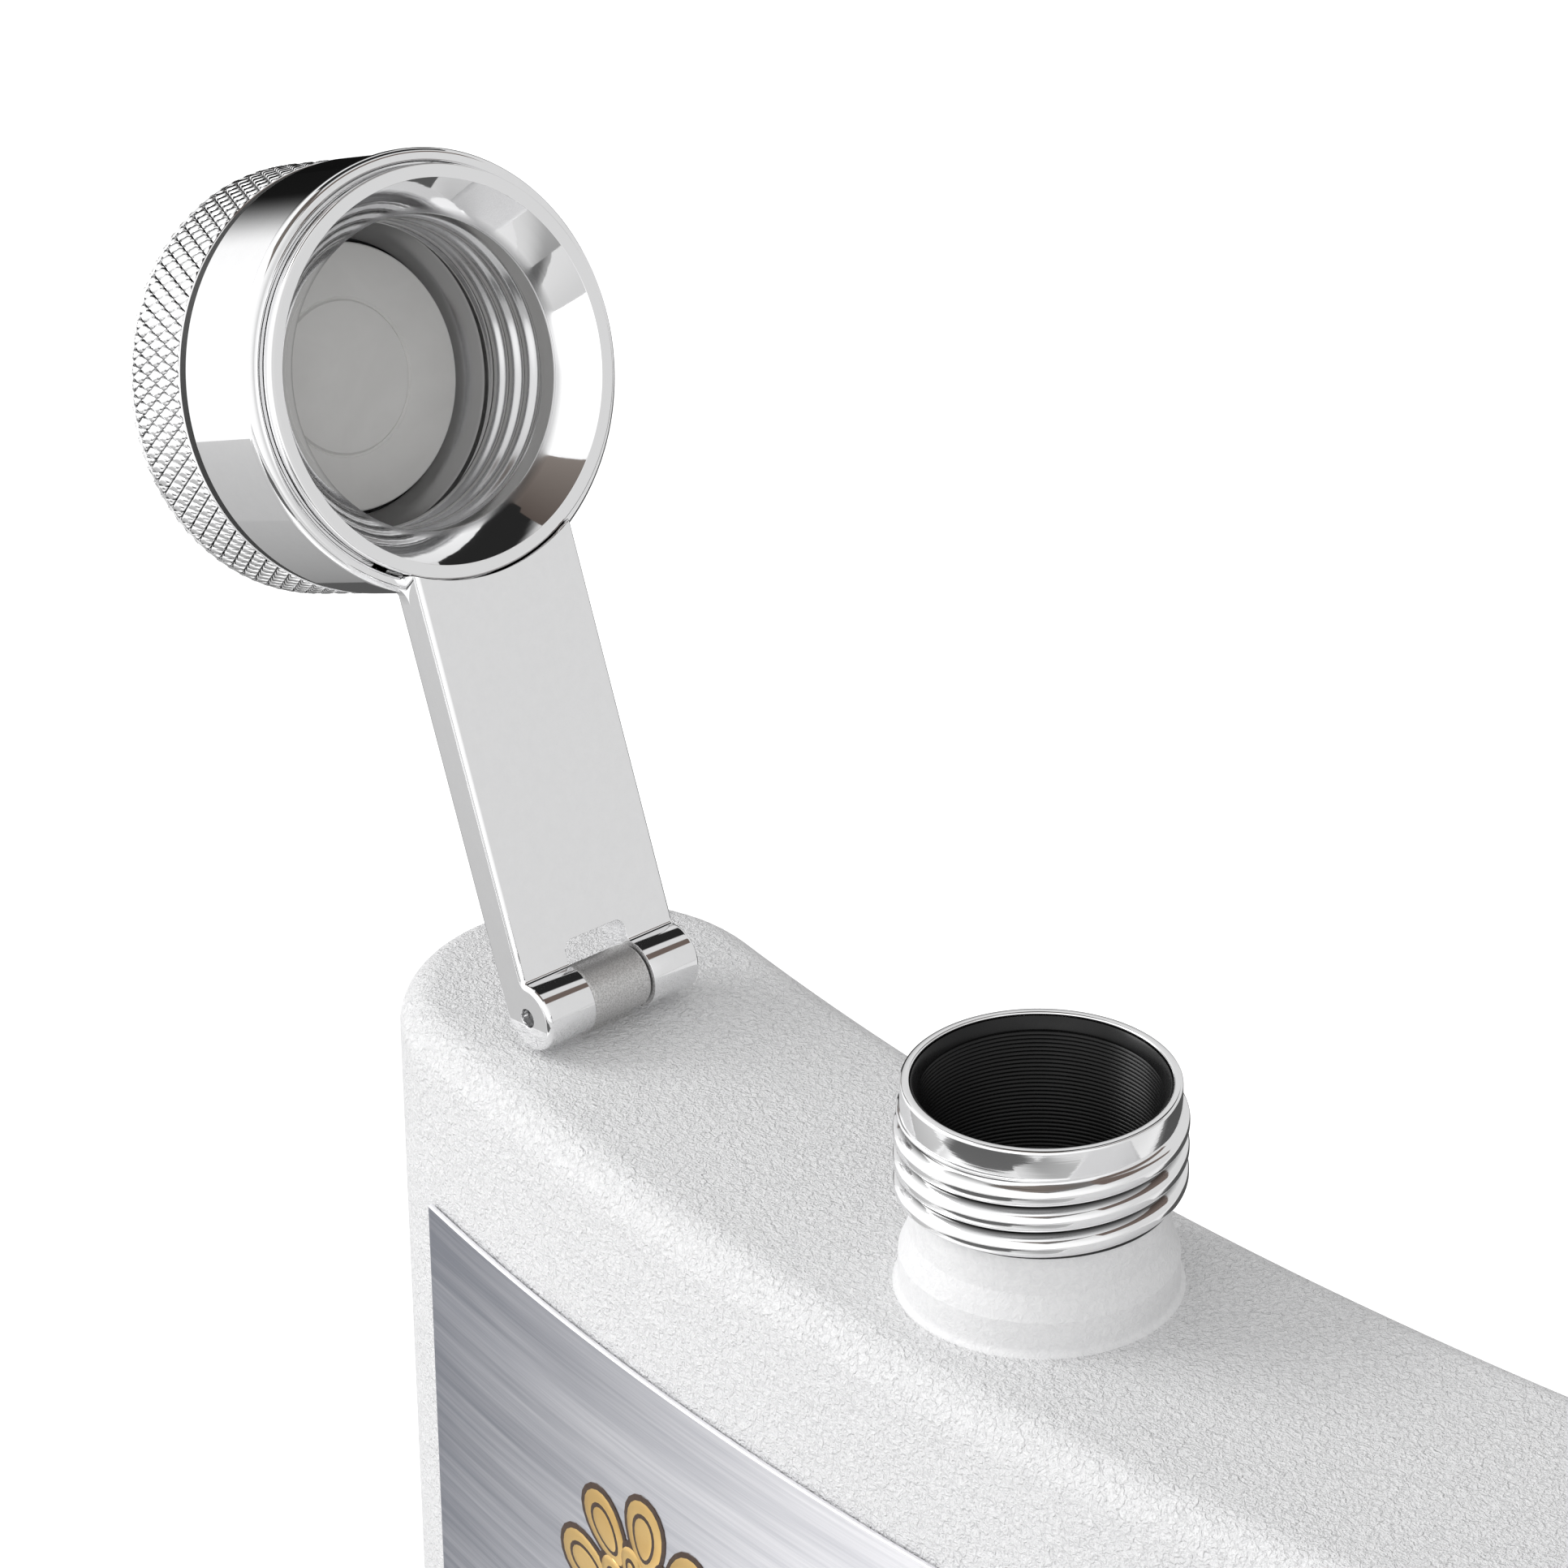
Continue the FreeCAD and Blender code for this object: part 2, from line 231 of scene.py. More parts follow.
def bevel_edges(bm, edges, width, segments):
    bmesh.ops.bevel(
        bm, geom=edges, offset=width, segments=segments, profile=0.5, affect="EDGES",
        offset_type="OFFSET", material=-1, clamp_overlap=True)


def cylinder(radius, length, place, segments):
    """A closed cylinder, drawn round Z and set in its place."""
    bm = bmesh.new()
    bmesh.ops.create_cone(
        bm, cap_ends=True, segments=segments, radius1=radius, radius2=radius, depth=length, matrix=place)
    return bm


# %% [markdown]
# ## Where the cap and its arm go
#
# The arm and the cap are modelled closed, with the hinge axis along Y and the flask below, because
# that is how they are drawn and machined. The hinge joint of the frame says where the axis lies and how
# far the arm stands open, and that gives one matrix for all of them.

# %% Hinge and cap frames
joints = {j["name"]: j for j in frame["record"]["behaviour"]["joints"]}
hinge = joints["arm_hinge"]
hinge_axis = Vector(hinge["axis"])
hinge_point = Vector(hinge["pos_m"]) / MM
open_angle = -math.radians(hinge["range_deg"][0])
arm_yaw = math.atan2(hinge_axis.x, -hinge_axis.y)
hinge_to_neck = hinge_point.xy.length

hinge_place = Matrix.Translation(hinge_point) @ Matrix.Rotation(arm_yaw, 4, "Z")
arm_place = hinge_place @ Matrix.Rotation(-open_angle, 4, "Y")
cap_place = arm_place @ Matrix.Translation((hinge_to_neck, 0, 0))
print("arm open", round(math.degrees(open_angle), 2), "yaw", round(math.degrees(arm_yaw), 2))

# %% [markdown]
# ## Surface effects
#
# Four effects come back on several finishes, so each is one node group: the lumps of a sprayed coat,
# the fine rings that a lathe leaves, the marks of handling that dull a polish here and there, and the
# long scratches of brushing. A group gives out masks and heights, and each material says what they do.

# %% Node helpers
def feed(tree, socket, value):
    """Links a socket to an input, or sets the input to a plain value."""
    if isinstance(value, bpy.types.NodeSocket):
        tree.links.new(value, socket)
    else:
        socket.default_value = value


def add_node(tree, kind, **values):
    """A node with its inputs fed by name, where _ stands for a blank."""
    node = tree.nodes.new(kind)
    for key, value in values.items():
        label = key.replace("_", " ")
        if label in node.inputs:
            feed(tree, node.inputs[label], value)
        else:
            setattr(node, key, value)
    return node


def new_group(name, inputs, outputs):
    """An empty node group with a Vector input, float inputs and float outputs."""
    group = bpy.data.node_groups.new(name, "ShaderNodeTree")
    group.interface.new_socket("Vector", in_out="INPUT", socket_type="NodeSocketVector")
    for label, value in inputs.items():
        socket = group.interface.new_socket(label, in_out="INPUT", socket_type="NodeSocketFloat")
        socket.default_value = value
    for label in outputs:
        group.interface.new_socket(label, in_out="OUTPUT", socket_type="NodeSocketFloat")
    given, out = group.nodes.new("NodeGroupInput"), group.nodes.new("NodeGroupOutput")
    return group, given.outputs, out


def give_out(group, out, **results):
    """Links the results of a group to its outputs and returns the group."""
    for label, value in results.items():
        group.links.new(value, out.inputs[label])
    return group


def maths(tree, operation, a, b=0.0):
    """One maths node; a and b are numbers or sockets."""
    node = add_node(tree, "ShaderNodeMath", operation=operation)
    for socket, value in zip(node.inputs, (a, b)):
        feed(tree, socket, value)
    return node.outputs[0]


def times(tree, a, b):
    return maths(tree, "MULTIPLY", a, b)


def plus(tree, a, b):
    return maths(tree, "ADD", a, b)


def ramp(tree, value, start, end, low=0.0, high=1.0, kind="LINEAR"):
    """Runs from low to high while the value runs from start to end."""
    spread = add_node(
        tree, "ShaderNodeMapRange", interpolation_type=kind, Value=value, From_Min=start, From_Max=end,
        To_Min=low, To_Max=high)
    return spread.outputs["Result"]


def noise(tree, **values):
    return add_node(tree, "ShaderNodeTexNoise", **values).outputs["Fac"]


def parts_of(tree, vector):
    """The X, Y and Z of a vector."""
    split = tree.nodes.new("ShaderNodeSeparateXYZ")
    tree.links.new(vector, split.inputs[0])
    return split.outputs


def blend(tree, mask, low, high):
    """A colour that runs from low to high with the mask, where high may be a socket."""
    mix = add_node(tree, "ShaderNodeMix", data_type="RGBA")
    feed(tree, mix.inputs[0], mask)
    feed(tree, mix.inputs[6], (*low, 1))
    feed(tree, mix.inputs[7], high if isinstance(high, bpy.types.NodeSocket) else (*high, 1))
    return mix.outputs[2]


# %% Lumps of a sprayed coat
def make_lumps():
    group, given, out = new_group("sprayed_lumps", {"Scale": 2500.0, "Twist": 0.6}, ["Height", "Pits"])
    vector, scale = given["Vector"], given["Scale"]
    coarse = noise(group, Vector=vector, Scale=scale, Detail=2.0, Roughness=0.55, Distortion=given["Twist"])
    fine = noise(group, Vector=vector, Scale=times(group, scale, 2.7), Detail=1.0)
    height = plus(group, coarse, times(group, fine, 0.35))
    return give_out(group, out, Height=height, Pits=ramp(group, coarse, 0.38, 0.6, 1.0, 0.0))


# %% Rings from the lathe
def make_turning():
    group, given, out = new_group(
        "turning_rings", {"Rings per metre": 9000.0}, ["Height", "Streaks", "Radius"])
    parts = parts_of(group, given["Vector"])
    squares = [maths(group, "POWER", parts[axis], 2.0) for axis in "XY"]
    radius = maths(group, "SQRT", plus(group, *squares))
    along = plus(group, radius, times(group, parts["Z"], 0.83))
    count = times(group, along, given["Rings per metre"])
    rings = noise(group, noise_dimensions="1D", W=count, Scale=1.0, Detail=2.0)
    broad = noise(group, noise_dimensions="1D", W=count, Scale=0.16, Detail=1.0)
    return give_out(group, out, Radius=radius, Height=rings, Streaks=times(group, rings, broad))


# %% Marks of handling
def make_handling():
    group, given, out = new_group("handling_marks", {"Scale": 90.0}, ["Smudges", "Scuffs"])
    vector, scale = given["Vector"], given["Scale"]
    smudges = noise(group, Vector=vector, Scale=scale, Detail=4.0, Roughness=0.6, Distortion=0.8)
    scuffs = noise(group, Vector=vector, Scale=times(group, scale, 14.0), Detail=3.0, Roughness=0.7)
    return give_out(group, out, Smudges=ramp(group, smudges, 0.42, 0.7), Scuffs=scuffs)


# %% Scratches of brushing
def make_brushing():
    group, given, out = new_group(
        "brushing_lines", {"Lines per metre": 3200.0, "Length": 0.012}, ["Lines", "Bands"])
    length, scale = given["Length"], given["Lines per metre"]
    stretch = add_node(group, "ShaderNodeCombineXYZ", X=length, Y=length, Z=1.0)
    squeezed = add_node(group, "ShaderNodeVectorMath", operation="MULTIPLY")
    group.links.new(given["Vector"], squeezed.inputs[0])
    group.links.new(stretch.outputs[0], squeezed.inputs[1])
    vector = squeezed.outputs[0]
    lines = noise(group, Vector=vector, Scale=scale, Detail=3.0, Roughness=0.65)
    bands = noise(group, Vector=vector, Scale=times(group, scale, 0.17), Detail=2.0)
    return give_out(group, out, Lines=lines, Bands=bands)


lumps, turning, handling, brushing = make_lumps(), make_turning(), make_handling(), make_brushing()


# %% Material helpers
def new_material(name, colour, roughness, metallic=0.0, **sockets):
    """A material with one Principled shader and Object coordinates."""
    material = bpy.data.materials.new(name)
    material.use_nodes = True
    tree = material.node_tree
    shader = tree.nodes["Principled BSDF"]
    shader.inputs["Base Color"].default_value = (*colour, 1)
    shader.inputs["Roughness"].default_value = roughness
    shader.inputs["Metallic"].default_value = metallic
    for key, value in sockets.items():
        shader.inputs[key.replace("_", " ")].default_value = value
    coords = tree.nodes.new("ShaderNodeTexCoord")
    return material, tree, shader, coords.outputs["Object"]


def use(tree, group, vector, **values):
    """Places a node group in a material."""
    node = tree.nodes.new("ShaderNodeGroup")
    node.node_tree = group
    for key, value in values.items():
        node.inputs[key.replace("_", " ")].default_value = value
    tree.links.new(vector, node.inputs["Vector"])
    return node.outputs


def bump(tree, shader, height, distance, strength=1.0):
    """Feeds a height, in metres, to the shader's normal."""
    node = add_node(tree, "ShaderNodeBump", Strength=strength, Distance=distance, Height=height)
    tree.links.new(node.outputs[0], shader.inputs["Normal"])


def tint(tree, shader, mask, low, high):
    """Base colour that runs from low to high with the mask."""
    tree.links.new(blend(tree, mask, low, high), shader.inputs["Base Color"])


def polish(tree, shader, mask, low, high):
    """Roughness that runs from low to high with the mask."""
    tree.links.new(ramp(tree, mask, 0.0, 1.0, low, high), shader.inputs["Roughness"])


def centred(tree, vector, place, unit=MM):
    """Object coordinates seen from a part's own axis; unit is what its place is measured in."""
    mapping = add_node(
        tree, "ShaderNodeMapping", vector_type="TEXTURE", Vector=vector,
        Location=place.translation * unit, Rotation=place.to_euler())
    return mapping.outputs[0]


def groove_shade_mask(tree, axis, radius, floor, top, low, high):
    """1 on the floor of a groove and 0 at its top, for heights from low to high, all in mm; it places painted
    shade.
    """
    depth = ramp(tree, radius, floor * MM, top * MM, 1.0, 0.0)
    level = parts_of(tree, axis)["Z"]
    above = maths(tree, "GREATER_THAN", level, low * MM)
    below = maths(tree, "LESS_THAN", level, high * MM)
    return times(tree, depth, times(tree, above, below))


# %% [markdown]
# ## Finishes
#
# The flask has a white powder coat with a fine leathery grain, because the coat is thick where it
# flows together. The cap, arm and threads are chromed. Chrome has almost no colour of its own, so its
# material is little more than a very low roughness, with the marks of the lathe and of fingers in it.
# The dark floors of the grooves, the dark inside of the cap's bush and the light and dark across the
# label are painted shade, painted reflection and painted highlight in the base colour.

# %% White powder coat
def make_white_coat(name, grain_depth):
    material, tree, shader, where = new_material(name, (0.83, 0.83, 0.835), 0.46)
    grain = use(tree, lumps, where, Scale=2900.0, Twist=0.9)
    marks = use(tree, handling, where, Scale=60.0)
    tint(tree, shader, grain["Pits"], (0.845, 0.845, 0.85), (0.8, 0.8, 0.808))
    polish(tree, shader, marks["Smudges"], 0.42, 0.52)
    bump(tree, shader, grain["Height"], grain_depth)
    return material


# %% Chrome
CHROME = 0.9, 0.9, 0.905


def make_chrome(name, low=0.035, high=0.09):
    material, tree, shader, where = new_material(name, CHROME, low, metallic=1.0)
    marks = use(tree, handling, where, Scale=110.0)
    polish(tree, shader, marks["Smudges"], low, high)
    tint(tree, shader, marks["Scuffs"], (0.87, 0.87, 0.875), (0.93, 0.93, 0.935))
    return material


def make_grooved_chrome(name, place, rings, shade_groove, dark):
    """Turned chrome with painted shade: its base colour darkens at the floor of its grooves."""
    material, tree, shader, where = new_material(name, CHROME, 0.05, metallic=1.0)
    axis = centred(tree, where, place)
    lathe = use(tree, turning, axis, Rings_per_metre=rings)
    mask = groove_shade_mask(tree, axis, lathe["Radius"], *shade_groove)
    marks = use(tree, handling, where, Scale=110.0)
    polish(tree, shader, marks["Smudges"], 0.045, 0.1)
    # Painted shade: the base colour goes dark at the floor of each groove.
    tint(tree, shader, mask, (0.91, 0.91, 0.915), dark)
    bump(tree, shader, lathe["Height"], 0.000002)
    return material


def make_bush_chrome():
    """Bright round the mouth; inside the thread a darker base colour is painted shade, and the finish is
    rougher.
    """
    material, tree, shader, where = new_material("bush_chrome", CHROME, 0.04, metallic=1.0)
    lathe = use(tree, turning, centred(tree, where, cap_place), Rings_per_metre=9000.0)
    start, end = (throat_radius + 0.1) * MM, (throat_radius + 0.4) * MM
    # Painted shade inside the bore: deep darkens the base colour there and also raises the roughness.
    deep = ramp(tree, lathe["Radius"], start, end, 1.0, 0.0)
    tint(tree, shader, deep, CHROME, (0.55, 0.55, 0.555))
    polish(tree, shader, deep, 0.04, 0.18)
    bump(tree, shader, lathe["Height"], 0.0000018)
    return material


# %% Liner, seal, knuckle and pin
def make_handled(name, colour, roughness, scale, tones, dull, **sockets):
    """Smooth stuff on which handling has left marks."""
    material, tree, shader, where = new_material(name, colour, roughness, **sockets)
    marks = use(tree, handling, where, Scale=scale)
    tint(tree, shader, marks["Smudges"], *tones)
    polish(tree, shader, marks["Scuffs"], *dull)
    return material


def make_blasted_steel():
    material, tree, shader, where = new_material("blasted_steel", (0.62, 0.61, 0.6), 0.5, metallic=1.0)
    pits = use(tree, lumps, where, Scale=12000.0, Twist=0.0)
    tint(tree, shader, pits["Pits"], (0.7, 0.695, 0.69), (0.5, 0.495, 0.49))
    polish(tree, shader, pits["Pits"], 0.46, 0.6)
    bump(tree, shader, pits["Height"], 0.000012, 0.5)
    return material


def make_pin_steel():
    material, tree, shader, where = new_material("pin_steel", (0.14, 0.14, 0.145), 0.35, metallic=1.0)
    lathe = use(tree, turning, centred(tree, where, hinge_place), Rings_per_metre=14000.0)
    tint(tree, shader, lathe["Streaks"], (0.1, 0.1, 0.1), (0.2, 0.2, 0.205))
    return material


def make_plain(name, low, high, roughness, scale):
    """Moulded or cast stuff whose tone varies a little."""
    material, tree, shader, where = new_material(name, low, roughness)
    grain = use(tree, lumps, where, Scale=scale, Twist=0.2)
    tint(tree, shader, grain["Pits"], low, high)
    bump(tree, shader, grain["Height"], 0.00001, 0.4)
    return material


# %% Brushed label and gold
def make_brushed_label():
    """Painted reflection: darker and bluer at the left, paler at the right, with a painted highlight along
    the top and left edges.
    """
    material, tree, shader, where = new_material("brushed_label", (0.72, 0.735, 0.775), 0.33, metallic=1.0)
    scratches = use(tree, brushing, where, Lines_per_metre=2600.0, Length=0.02)
    parts = parts_of(tree, where)
    # Painted reflection: the base colour runs from dark and blue at the left to pale at the right.
    shaded_end, lit_end = -0.044, 0.006
    painted_reflection_ramp = ramp(tree, parts["X"], shaded_end, lit_end)
    lines = times(tree, maths(tree, "SUBTRACT", scratches["Lines"], 0.5), 0.9)
    bands = times(tree, maths(tree, "SUBTRACT", scratches["Bands"], 0.5), 0.5)
    shade = plus(tree, painted_reflection_ramp, plus(tree, lines, bands))
    plate_low, plate_high = (Vector(c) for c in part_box("label_plate"))
    # Painted highlight: a thin pale line along the top and left edges of the plate.
    top_highlight_width, left_highlight_width = 0.0001, 0.00012
    top_edge_highlight = maths(tree, "GREATER_THAN", parts["Z"], plate_high.z - top_highlight_width)
    left_edge_highlight = maths(tree, "LESS_THAN", parts["X"], plate_low.x + left_highlight_width)
    shade = plus(tree, shade, maths(tree, "MAXIMUM", top_edge_highlight, left_edge_highlight))
    tint(tree, shader, shade, (0.37, 0.385, 0.44), (0.96, 0.955, 0.985))
    polish(tree, shader, scratches["Bands"], 0.27, 0.42)
    bump(tree, shader, scratches["Lines"], 0.000004, 0.5)
    return material


def make_gold_foil():
    material, tree, shader, where = new_material("gold_foil", (0.78, 0.53, 0.2), 0.3, metallic=0.85)
    scratches = use(tree, brushing, where, Lines_per_metre=1500.0, Length=0.2)
    tint(tree, shader, scratches["Bands"], (0.66, 0.4, 0.12), (0.9, 0.66, 0.3))
    polish(tree, shader, scratches["Lines"], 0.22, 0.4)
    return material


neck_place = Matrix.Translation((0, 0, top_level))
throat_radius = 8.65
white_coat = make_white_coat("white_coat", 0.00027)
thin_coat = make_white_coat("thin_coat", 0.00006)
arm_chrome = make_chrome("arm_chrome", low=0.025, high=0.06)
bush_chrome = make_bush_chrome()
# Painted shade: where the knurl and the thread grooves go dark, and how dark.
knurl_groove_shade, thread_groove_shade = (11.7, 11.88, 7.95, 12.9), (7.07, 7.36, 5.5, 9.9)
knurl_chrome = make_grooved_chrome("knurl_chrome", cap_place, 9000.0, knurl_groove_shade, (0.08, 0.08, 0.08))
neck_chrome = make_grooved_chrome("neck_chrome", neck_place, 7000.0, thread_groove_shade, (0.05, 0.05, 0.05))
black_liner = make_handled(
    "black_liner", (0.01, 0.01, 0.01), 0.3, 200.0, ((0.007, 0.007, 0.007), (0.013, 0.013, 0.0135)),
    (0.2, 0.36), Specular_IOR_Level=0.25)
blasted_steel = make_blasted_steel()
pin_steel = make_pin_steel()
grey_seal = make_handled(
    "grey_seal", (0.76, 0.755, 0.74), 0.4, 160.0, ((0.78, 0.775, 0.76), (0.73, 0.725, 0.71)), (0.34, 0.48))
black_nylon = make_plain("black_nylon", (0.01, 0.01, 0.01), (0.006, 0.006, 0.006), 0.6, 3000.0)
glue_film = make_plain("glue_film", (0.62, 0.62, 0.6), (0.55, 0.55, 0.53), 0.5, 2500.0)
outline_brown = make_plain("outline_brown", (0.06, 0.03, 0.015), (0.04, 0.018, 0.009), 0.42, 4000.0)
brushed_label = make_brushed_label()
gold_foil = make_gold_foil()
print(len(bpy.data.materials), "materials")

# %% [markdown]
# ## Flask body
#
# The body is one wall of bent sheet with a pressed top and base welded in, all under one coat. Its
# plan is four arcs: a convex front, a concave back that fits a hip, and two round ends that touch both.
# The outline is made by spinning a single vertex round each centre in turn, then drawn up into a wall.

# %% Plan of the flask
low_corner, high_corner = (Vector(c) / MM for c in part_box("body_wall"))
half_width = high_corner.x
half_depth = -low_corner.y
front_radius, back_radius = 200.5, 213.7
front_centre = Vector((0, front_radius - half_depth, 0))
back_centre = Vector((0, back_radius + half_depth, 0))
sheet, edge_radius = 0.7, 2.2


def find_end_circle():
    """Centre and radius of the round end, which touches the front and the back."""
    radius, y = half_depth, 0.0
    for _ in range(60):
        x = half_width - radius
        to_front = front_radius - math.hypot(x, y - front_centre.y)
        to_back = math.hypot(x, y - back_centre.y) - back_radius
        y += (to_back - to_front) / 2
        radius = (to_back + to_front) / 2
    return Vector((x, y, 0)), radius


end_centre, end_radius = find_end_circle()
front_turn = math.atan2(end_centre.x, front_centre.y - end_centre.y)
back_turn = math.atan2(end_centre.x, back_centre.y - end_centre.y)
end_turn = math.pi + back_turn - front_turn
print("end circle", [round(c, 2) for c in end_centre], round(end_radius, 2))


# %% Outline as spun vertices
def flask_outline(height):
    """A bmesh that holds the closed plan of the flask at one height."""
    bm = bmesh.new()
    start = front_centre + front_radius * Vector((-math.sin(front_turn), -math.cos(front_turn), 0))
    last = bm.verts.new(start + Vector((0, 0, height)))
    mirrored = Vector((-end_centre.x, end_centre.y, 0))
    arcs = [
        (front_centre, 2 * front_turn, 80),
        (end_centre, end_turn, 36),
        (back_centre, -2 * back_turn, 80),
        (mirrored, end_turn, 36),
    ]
    for centre, angle, steps in arcs:
        last = sweep(bm, last, centre, angle, steps)
    bmesh.ops.remove_doubles(bm, verts=bm.verts, dist=1e-2)
    return bm


def drawn_up(bm, height):
    """Draws the outline up to a height and returns the new edges."""
    made = bmesh.ops.extrude_edge_only(bm, edges=bm.edges[:])
    bmesh.ops.translate(bm, verts=new_verts(made), vec=(0, 0, height))
    return [g for g in made["geom"] if isinstance(g, bmesh.types.BMEdge)]


def as_sheet(bm, thickness):
    """Gives a surface its thickness, inwards."""
    return applied(bm, "SOLIDIFY", thickness=thickness, offset=-1, use_even_offset=True)


# %% Wall of the flask
def make_wall():
    bm = flask_outline(low_corner.z)
    drawn_up(bm, high_corner.z - low_corner.z)
    bmesh.ops.recalc_face_normals(bm, faces=bm.faces)
    outer = max(bm.faces, key=lambda f: f.calc_center_median().x)
    if outer.normal.x < 0:
        bmesh.ops.reverse_faces(bm, faces=bm.faces)
    bm = as_sheet(bm, sheet)
    finish_piece(bm, "flask_wall", "flask", ["body_wall"], white_coat, weighted=False)


# %% Pressed top and base
neck_radius = 6.75


def make_pan(name, node, level, height, hole):
    """A pan drawn from its seam to its outer face, which may have a round hole."""
    bm = flask_outline(level)
    rim = drawn_up(bm, height)
    outer_rim = [e for e in rim if e.verts[0].co.z == e.verts[1].co.z]
    lid = bmesh.ops.contextual_create(bm, geom=outer_rim)["faces"][0]
    bmesh.ops.recalc_face_normals(bm, faces=bm.faces)
    if lid.normal.z * height < 0:
        bmesh.ops.reverse_faces(bm, faces=bm.faces)
    bevel_edges(bm, list(lid.edges), edge_radius, 12)
    lid = max(bm.faces, key=lambda f: f.calc_area() if abs(f.normal.z) > 0.999 else 0)
    bmesh.ops.inset_region(bm, faces=[lid], thickness=0.5, use_even_offset=True)
    if hole:
        loop = list(lid.edges)
        bmesh.ops.delete(bm, geom=[lid], context="FACES_ONLY")
        lift = Matrix.Translation((0, 0, level + height))
        made = bmesh.ops.create_circle(bm, segments=128, radius=hole, matrix=lift)
        hole_verts = set(made["verts"])
        edges = loop + [e for e in bm.edges if hole_verts.issuperset(e.verts)]
        filled = bmesh.ops.triangle_fill(bm, edges=edges, use_beauty=True)["geom"]
        for face in filled:
            if isinstance(face, bmesh.types.BMFace) and face.normal.z * height < 0:
                face.normal_flip()
    bm = as_sheet(bm, sheet)
    finish_piece(bm, name, "flask", [node], white_coat)


make_wall()
make_pan("flask_top", "top_pan", high_corner.z, top_level - high_corner.z, neck_radius)
make_pan("flask_base", "bottom_pan", low_corner.z, -low_corner.z, 0)

# %% [markdown]
# ## Neck
#
# The neck is a coated tube with a thicker foot. A chromed sleeve with the thread is pressed over it,
# and a ribbed black liner hangs inside. The thread is a real helix: the sleeve's wall is spun with many
# rows, then each vertex moves out by a rounded ridge whose height along the wall grows with the angle.

# %% Neck tube
rim_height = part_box("neck_thread")[1][2] / MM - top_level


def make_neck_tube():
    foot, collar, collar_height, shoulder = 7.29, 0.42, 1.95, 3.3
    corners = [
        (neck_radius - 0.25, -1.5),
        (neck_radius, -1.5),
        (neck_radius, -0.02),
        (foot + collar + 0.25, -0.02),
        (foot, -0.02 + 0.0001, collar),
        (foot, collar_height, 0.14),
        (neck_radius, shoulder, 0.18),
        (neck_radius, rim_height - 0.65),
        (neck_radius - 0.25, rim_height - 0.65),
    ]
    bm = turned(rounded(corners, steps=8))
    finish_piece(bm, "neck_tube_coated", "flask", ["neck_tube"], thin_coat, neck_place)


# %% Thread helper
def wind_thread(bm, root, crest, low, high, pitch, start, sharpness, run_in):
    """Moves the vertices of a spun wall between two heights out to a helical ridge."""
    for v in bm.verts:
        radius = math.hypot(v.co.x, v.co.y)
        if abs(radius - root) > 0.01 or not low < v.co.z < high:
            continue
        turn = math.atan2(v.co.y, v.co.x) / math.tau
        phase = (v.co.z - low) / pitch - turn + start
        off = (abs(phase - math.floor(phase) - 0.5) * 2) ** sharpness
        ridge = 1 - off * off * (3 - 2 * off)
        ends = min(v.co.z - low, high - v.co.z) / run_in
        ridge *= min(1.0, ends) ** 0.5
        out = (root + (crest - root) * ridge) / radius
        v.co.x *= out
        v.co.y *= out


# %% Threaded sleeve
def make_neck_sleeve():
    bore, root, crest, rim, lip = neck_radius + 0.02, 7.05, 7.6, 7.22, 6.72
    low, band = 5.6, rim_height - 1.55
    corners = [
        (bore, low),
        (root, low, 0.1),
        (root, band - 0.1),
        (rim, band, 0.06),
        (rim, rim_height, 0.16),
        (lip, rim_height, 0.1),
        (lip, rim_height - 0.2),
        (bore, rim_height - 0.2),
    ]
    points = rounded(corners)
    wall = [i for i, p in enumerate(points) if abs(p[0] - root) < 1e-6]
    first, last = wall[0], wall[-1]
    rows = straight(points[first], points[last], 120)
    points = points[:first] + rows + points[last:]
    bm = turned(points, steps=256)
    wind_thread(bm, root, crest, low + 0.12, band - 0.1, 1.5, 0.93, 1.7, 0.3)
    finish_piece(
        bm, "neck_thread_sleeve", "flask", ["neck_thread"], neck_chrome, neck_place, sharp=100,
        weighted=False)


# %% Ribbed liner
def make_neck_liner():
    bore, outer = 6.28, 6.48
    ledge = rim_height - 0.72
    rib, ribs = 0.24, 50
    inside = []
    for k in range(ribs):
        level = ledge - 0.12 - k * rib
        inside += [(bore, level), (bore + 0.1, level - rib * 0.4), (bore, level - rib * 0.8)]
    bottom = inside[-1][1] - 0.3
    points = [
        (6.66, rim_height - 0.16), (6.6, rim_height - 0.14), (6.52, rim_height - 0.24),
        (bore + 0.02, ledge - 0.03),
        *inside, (bore, bottom), (outer, bottom), (outer, rim_height - 0.66), (6.72, rim_height - 0.66),
        (6.72, rim_height - 0.2),
    ]
    bm = turned(points, steps=128)
    finish_piece(
        bm, "neck_liner_ribbed", "flask", ["pour_liner"], black_liner, neck_place, sharp=60,
        weighted=False)


make_neck_tube()
make_neck_sleeve()
make_neck_liner()

# %% [markdown]
# ## Hinge
#
# The middle knuckle is fixed to the flask and bead blasted to a dull grey. It is a short barrel on a
# narrow foot, with the pin's hole cut through it.

# %% Middle knuckle
knuckle_radius, lug_radius, lug_length, lug_foot = 1.95, 1.8, 4.0, 1.5
barrel_length, pin_radius = 10.8, 0.55
hinge_height = hinge_point.z - top_level


def hinge_rod(radius, length):
    """A closed cylinder along the hinge axis."""
    return cylinder(radius, length, Matrix.Rotation(math.pi / 2, 4, "X"), 64)


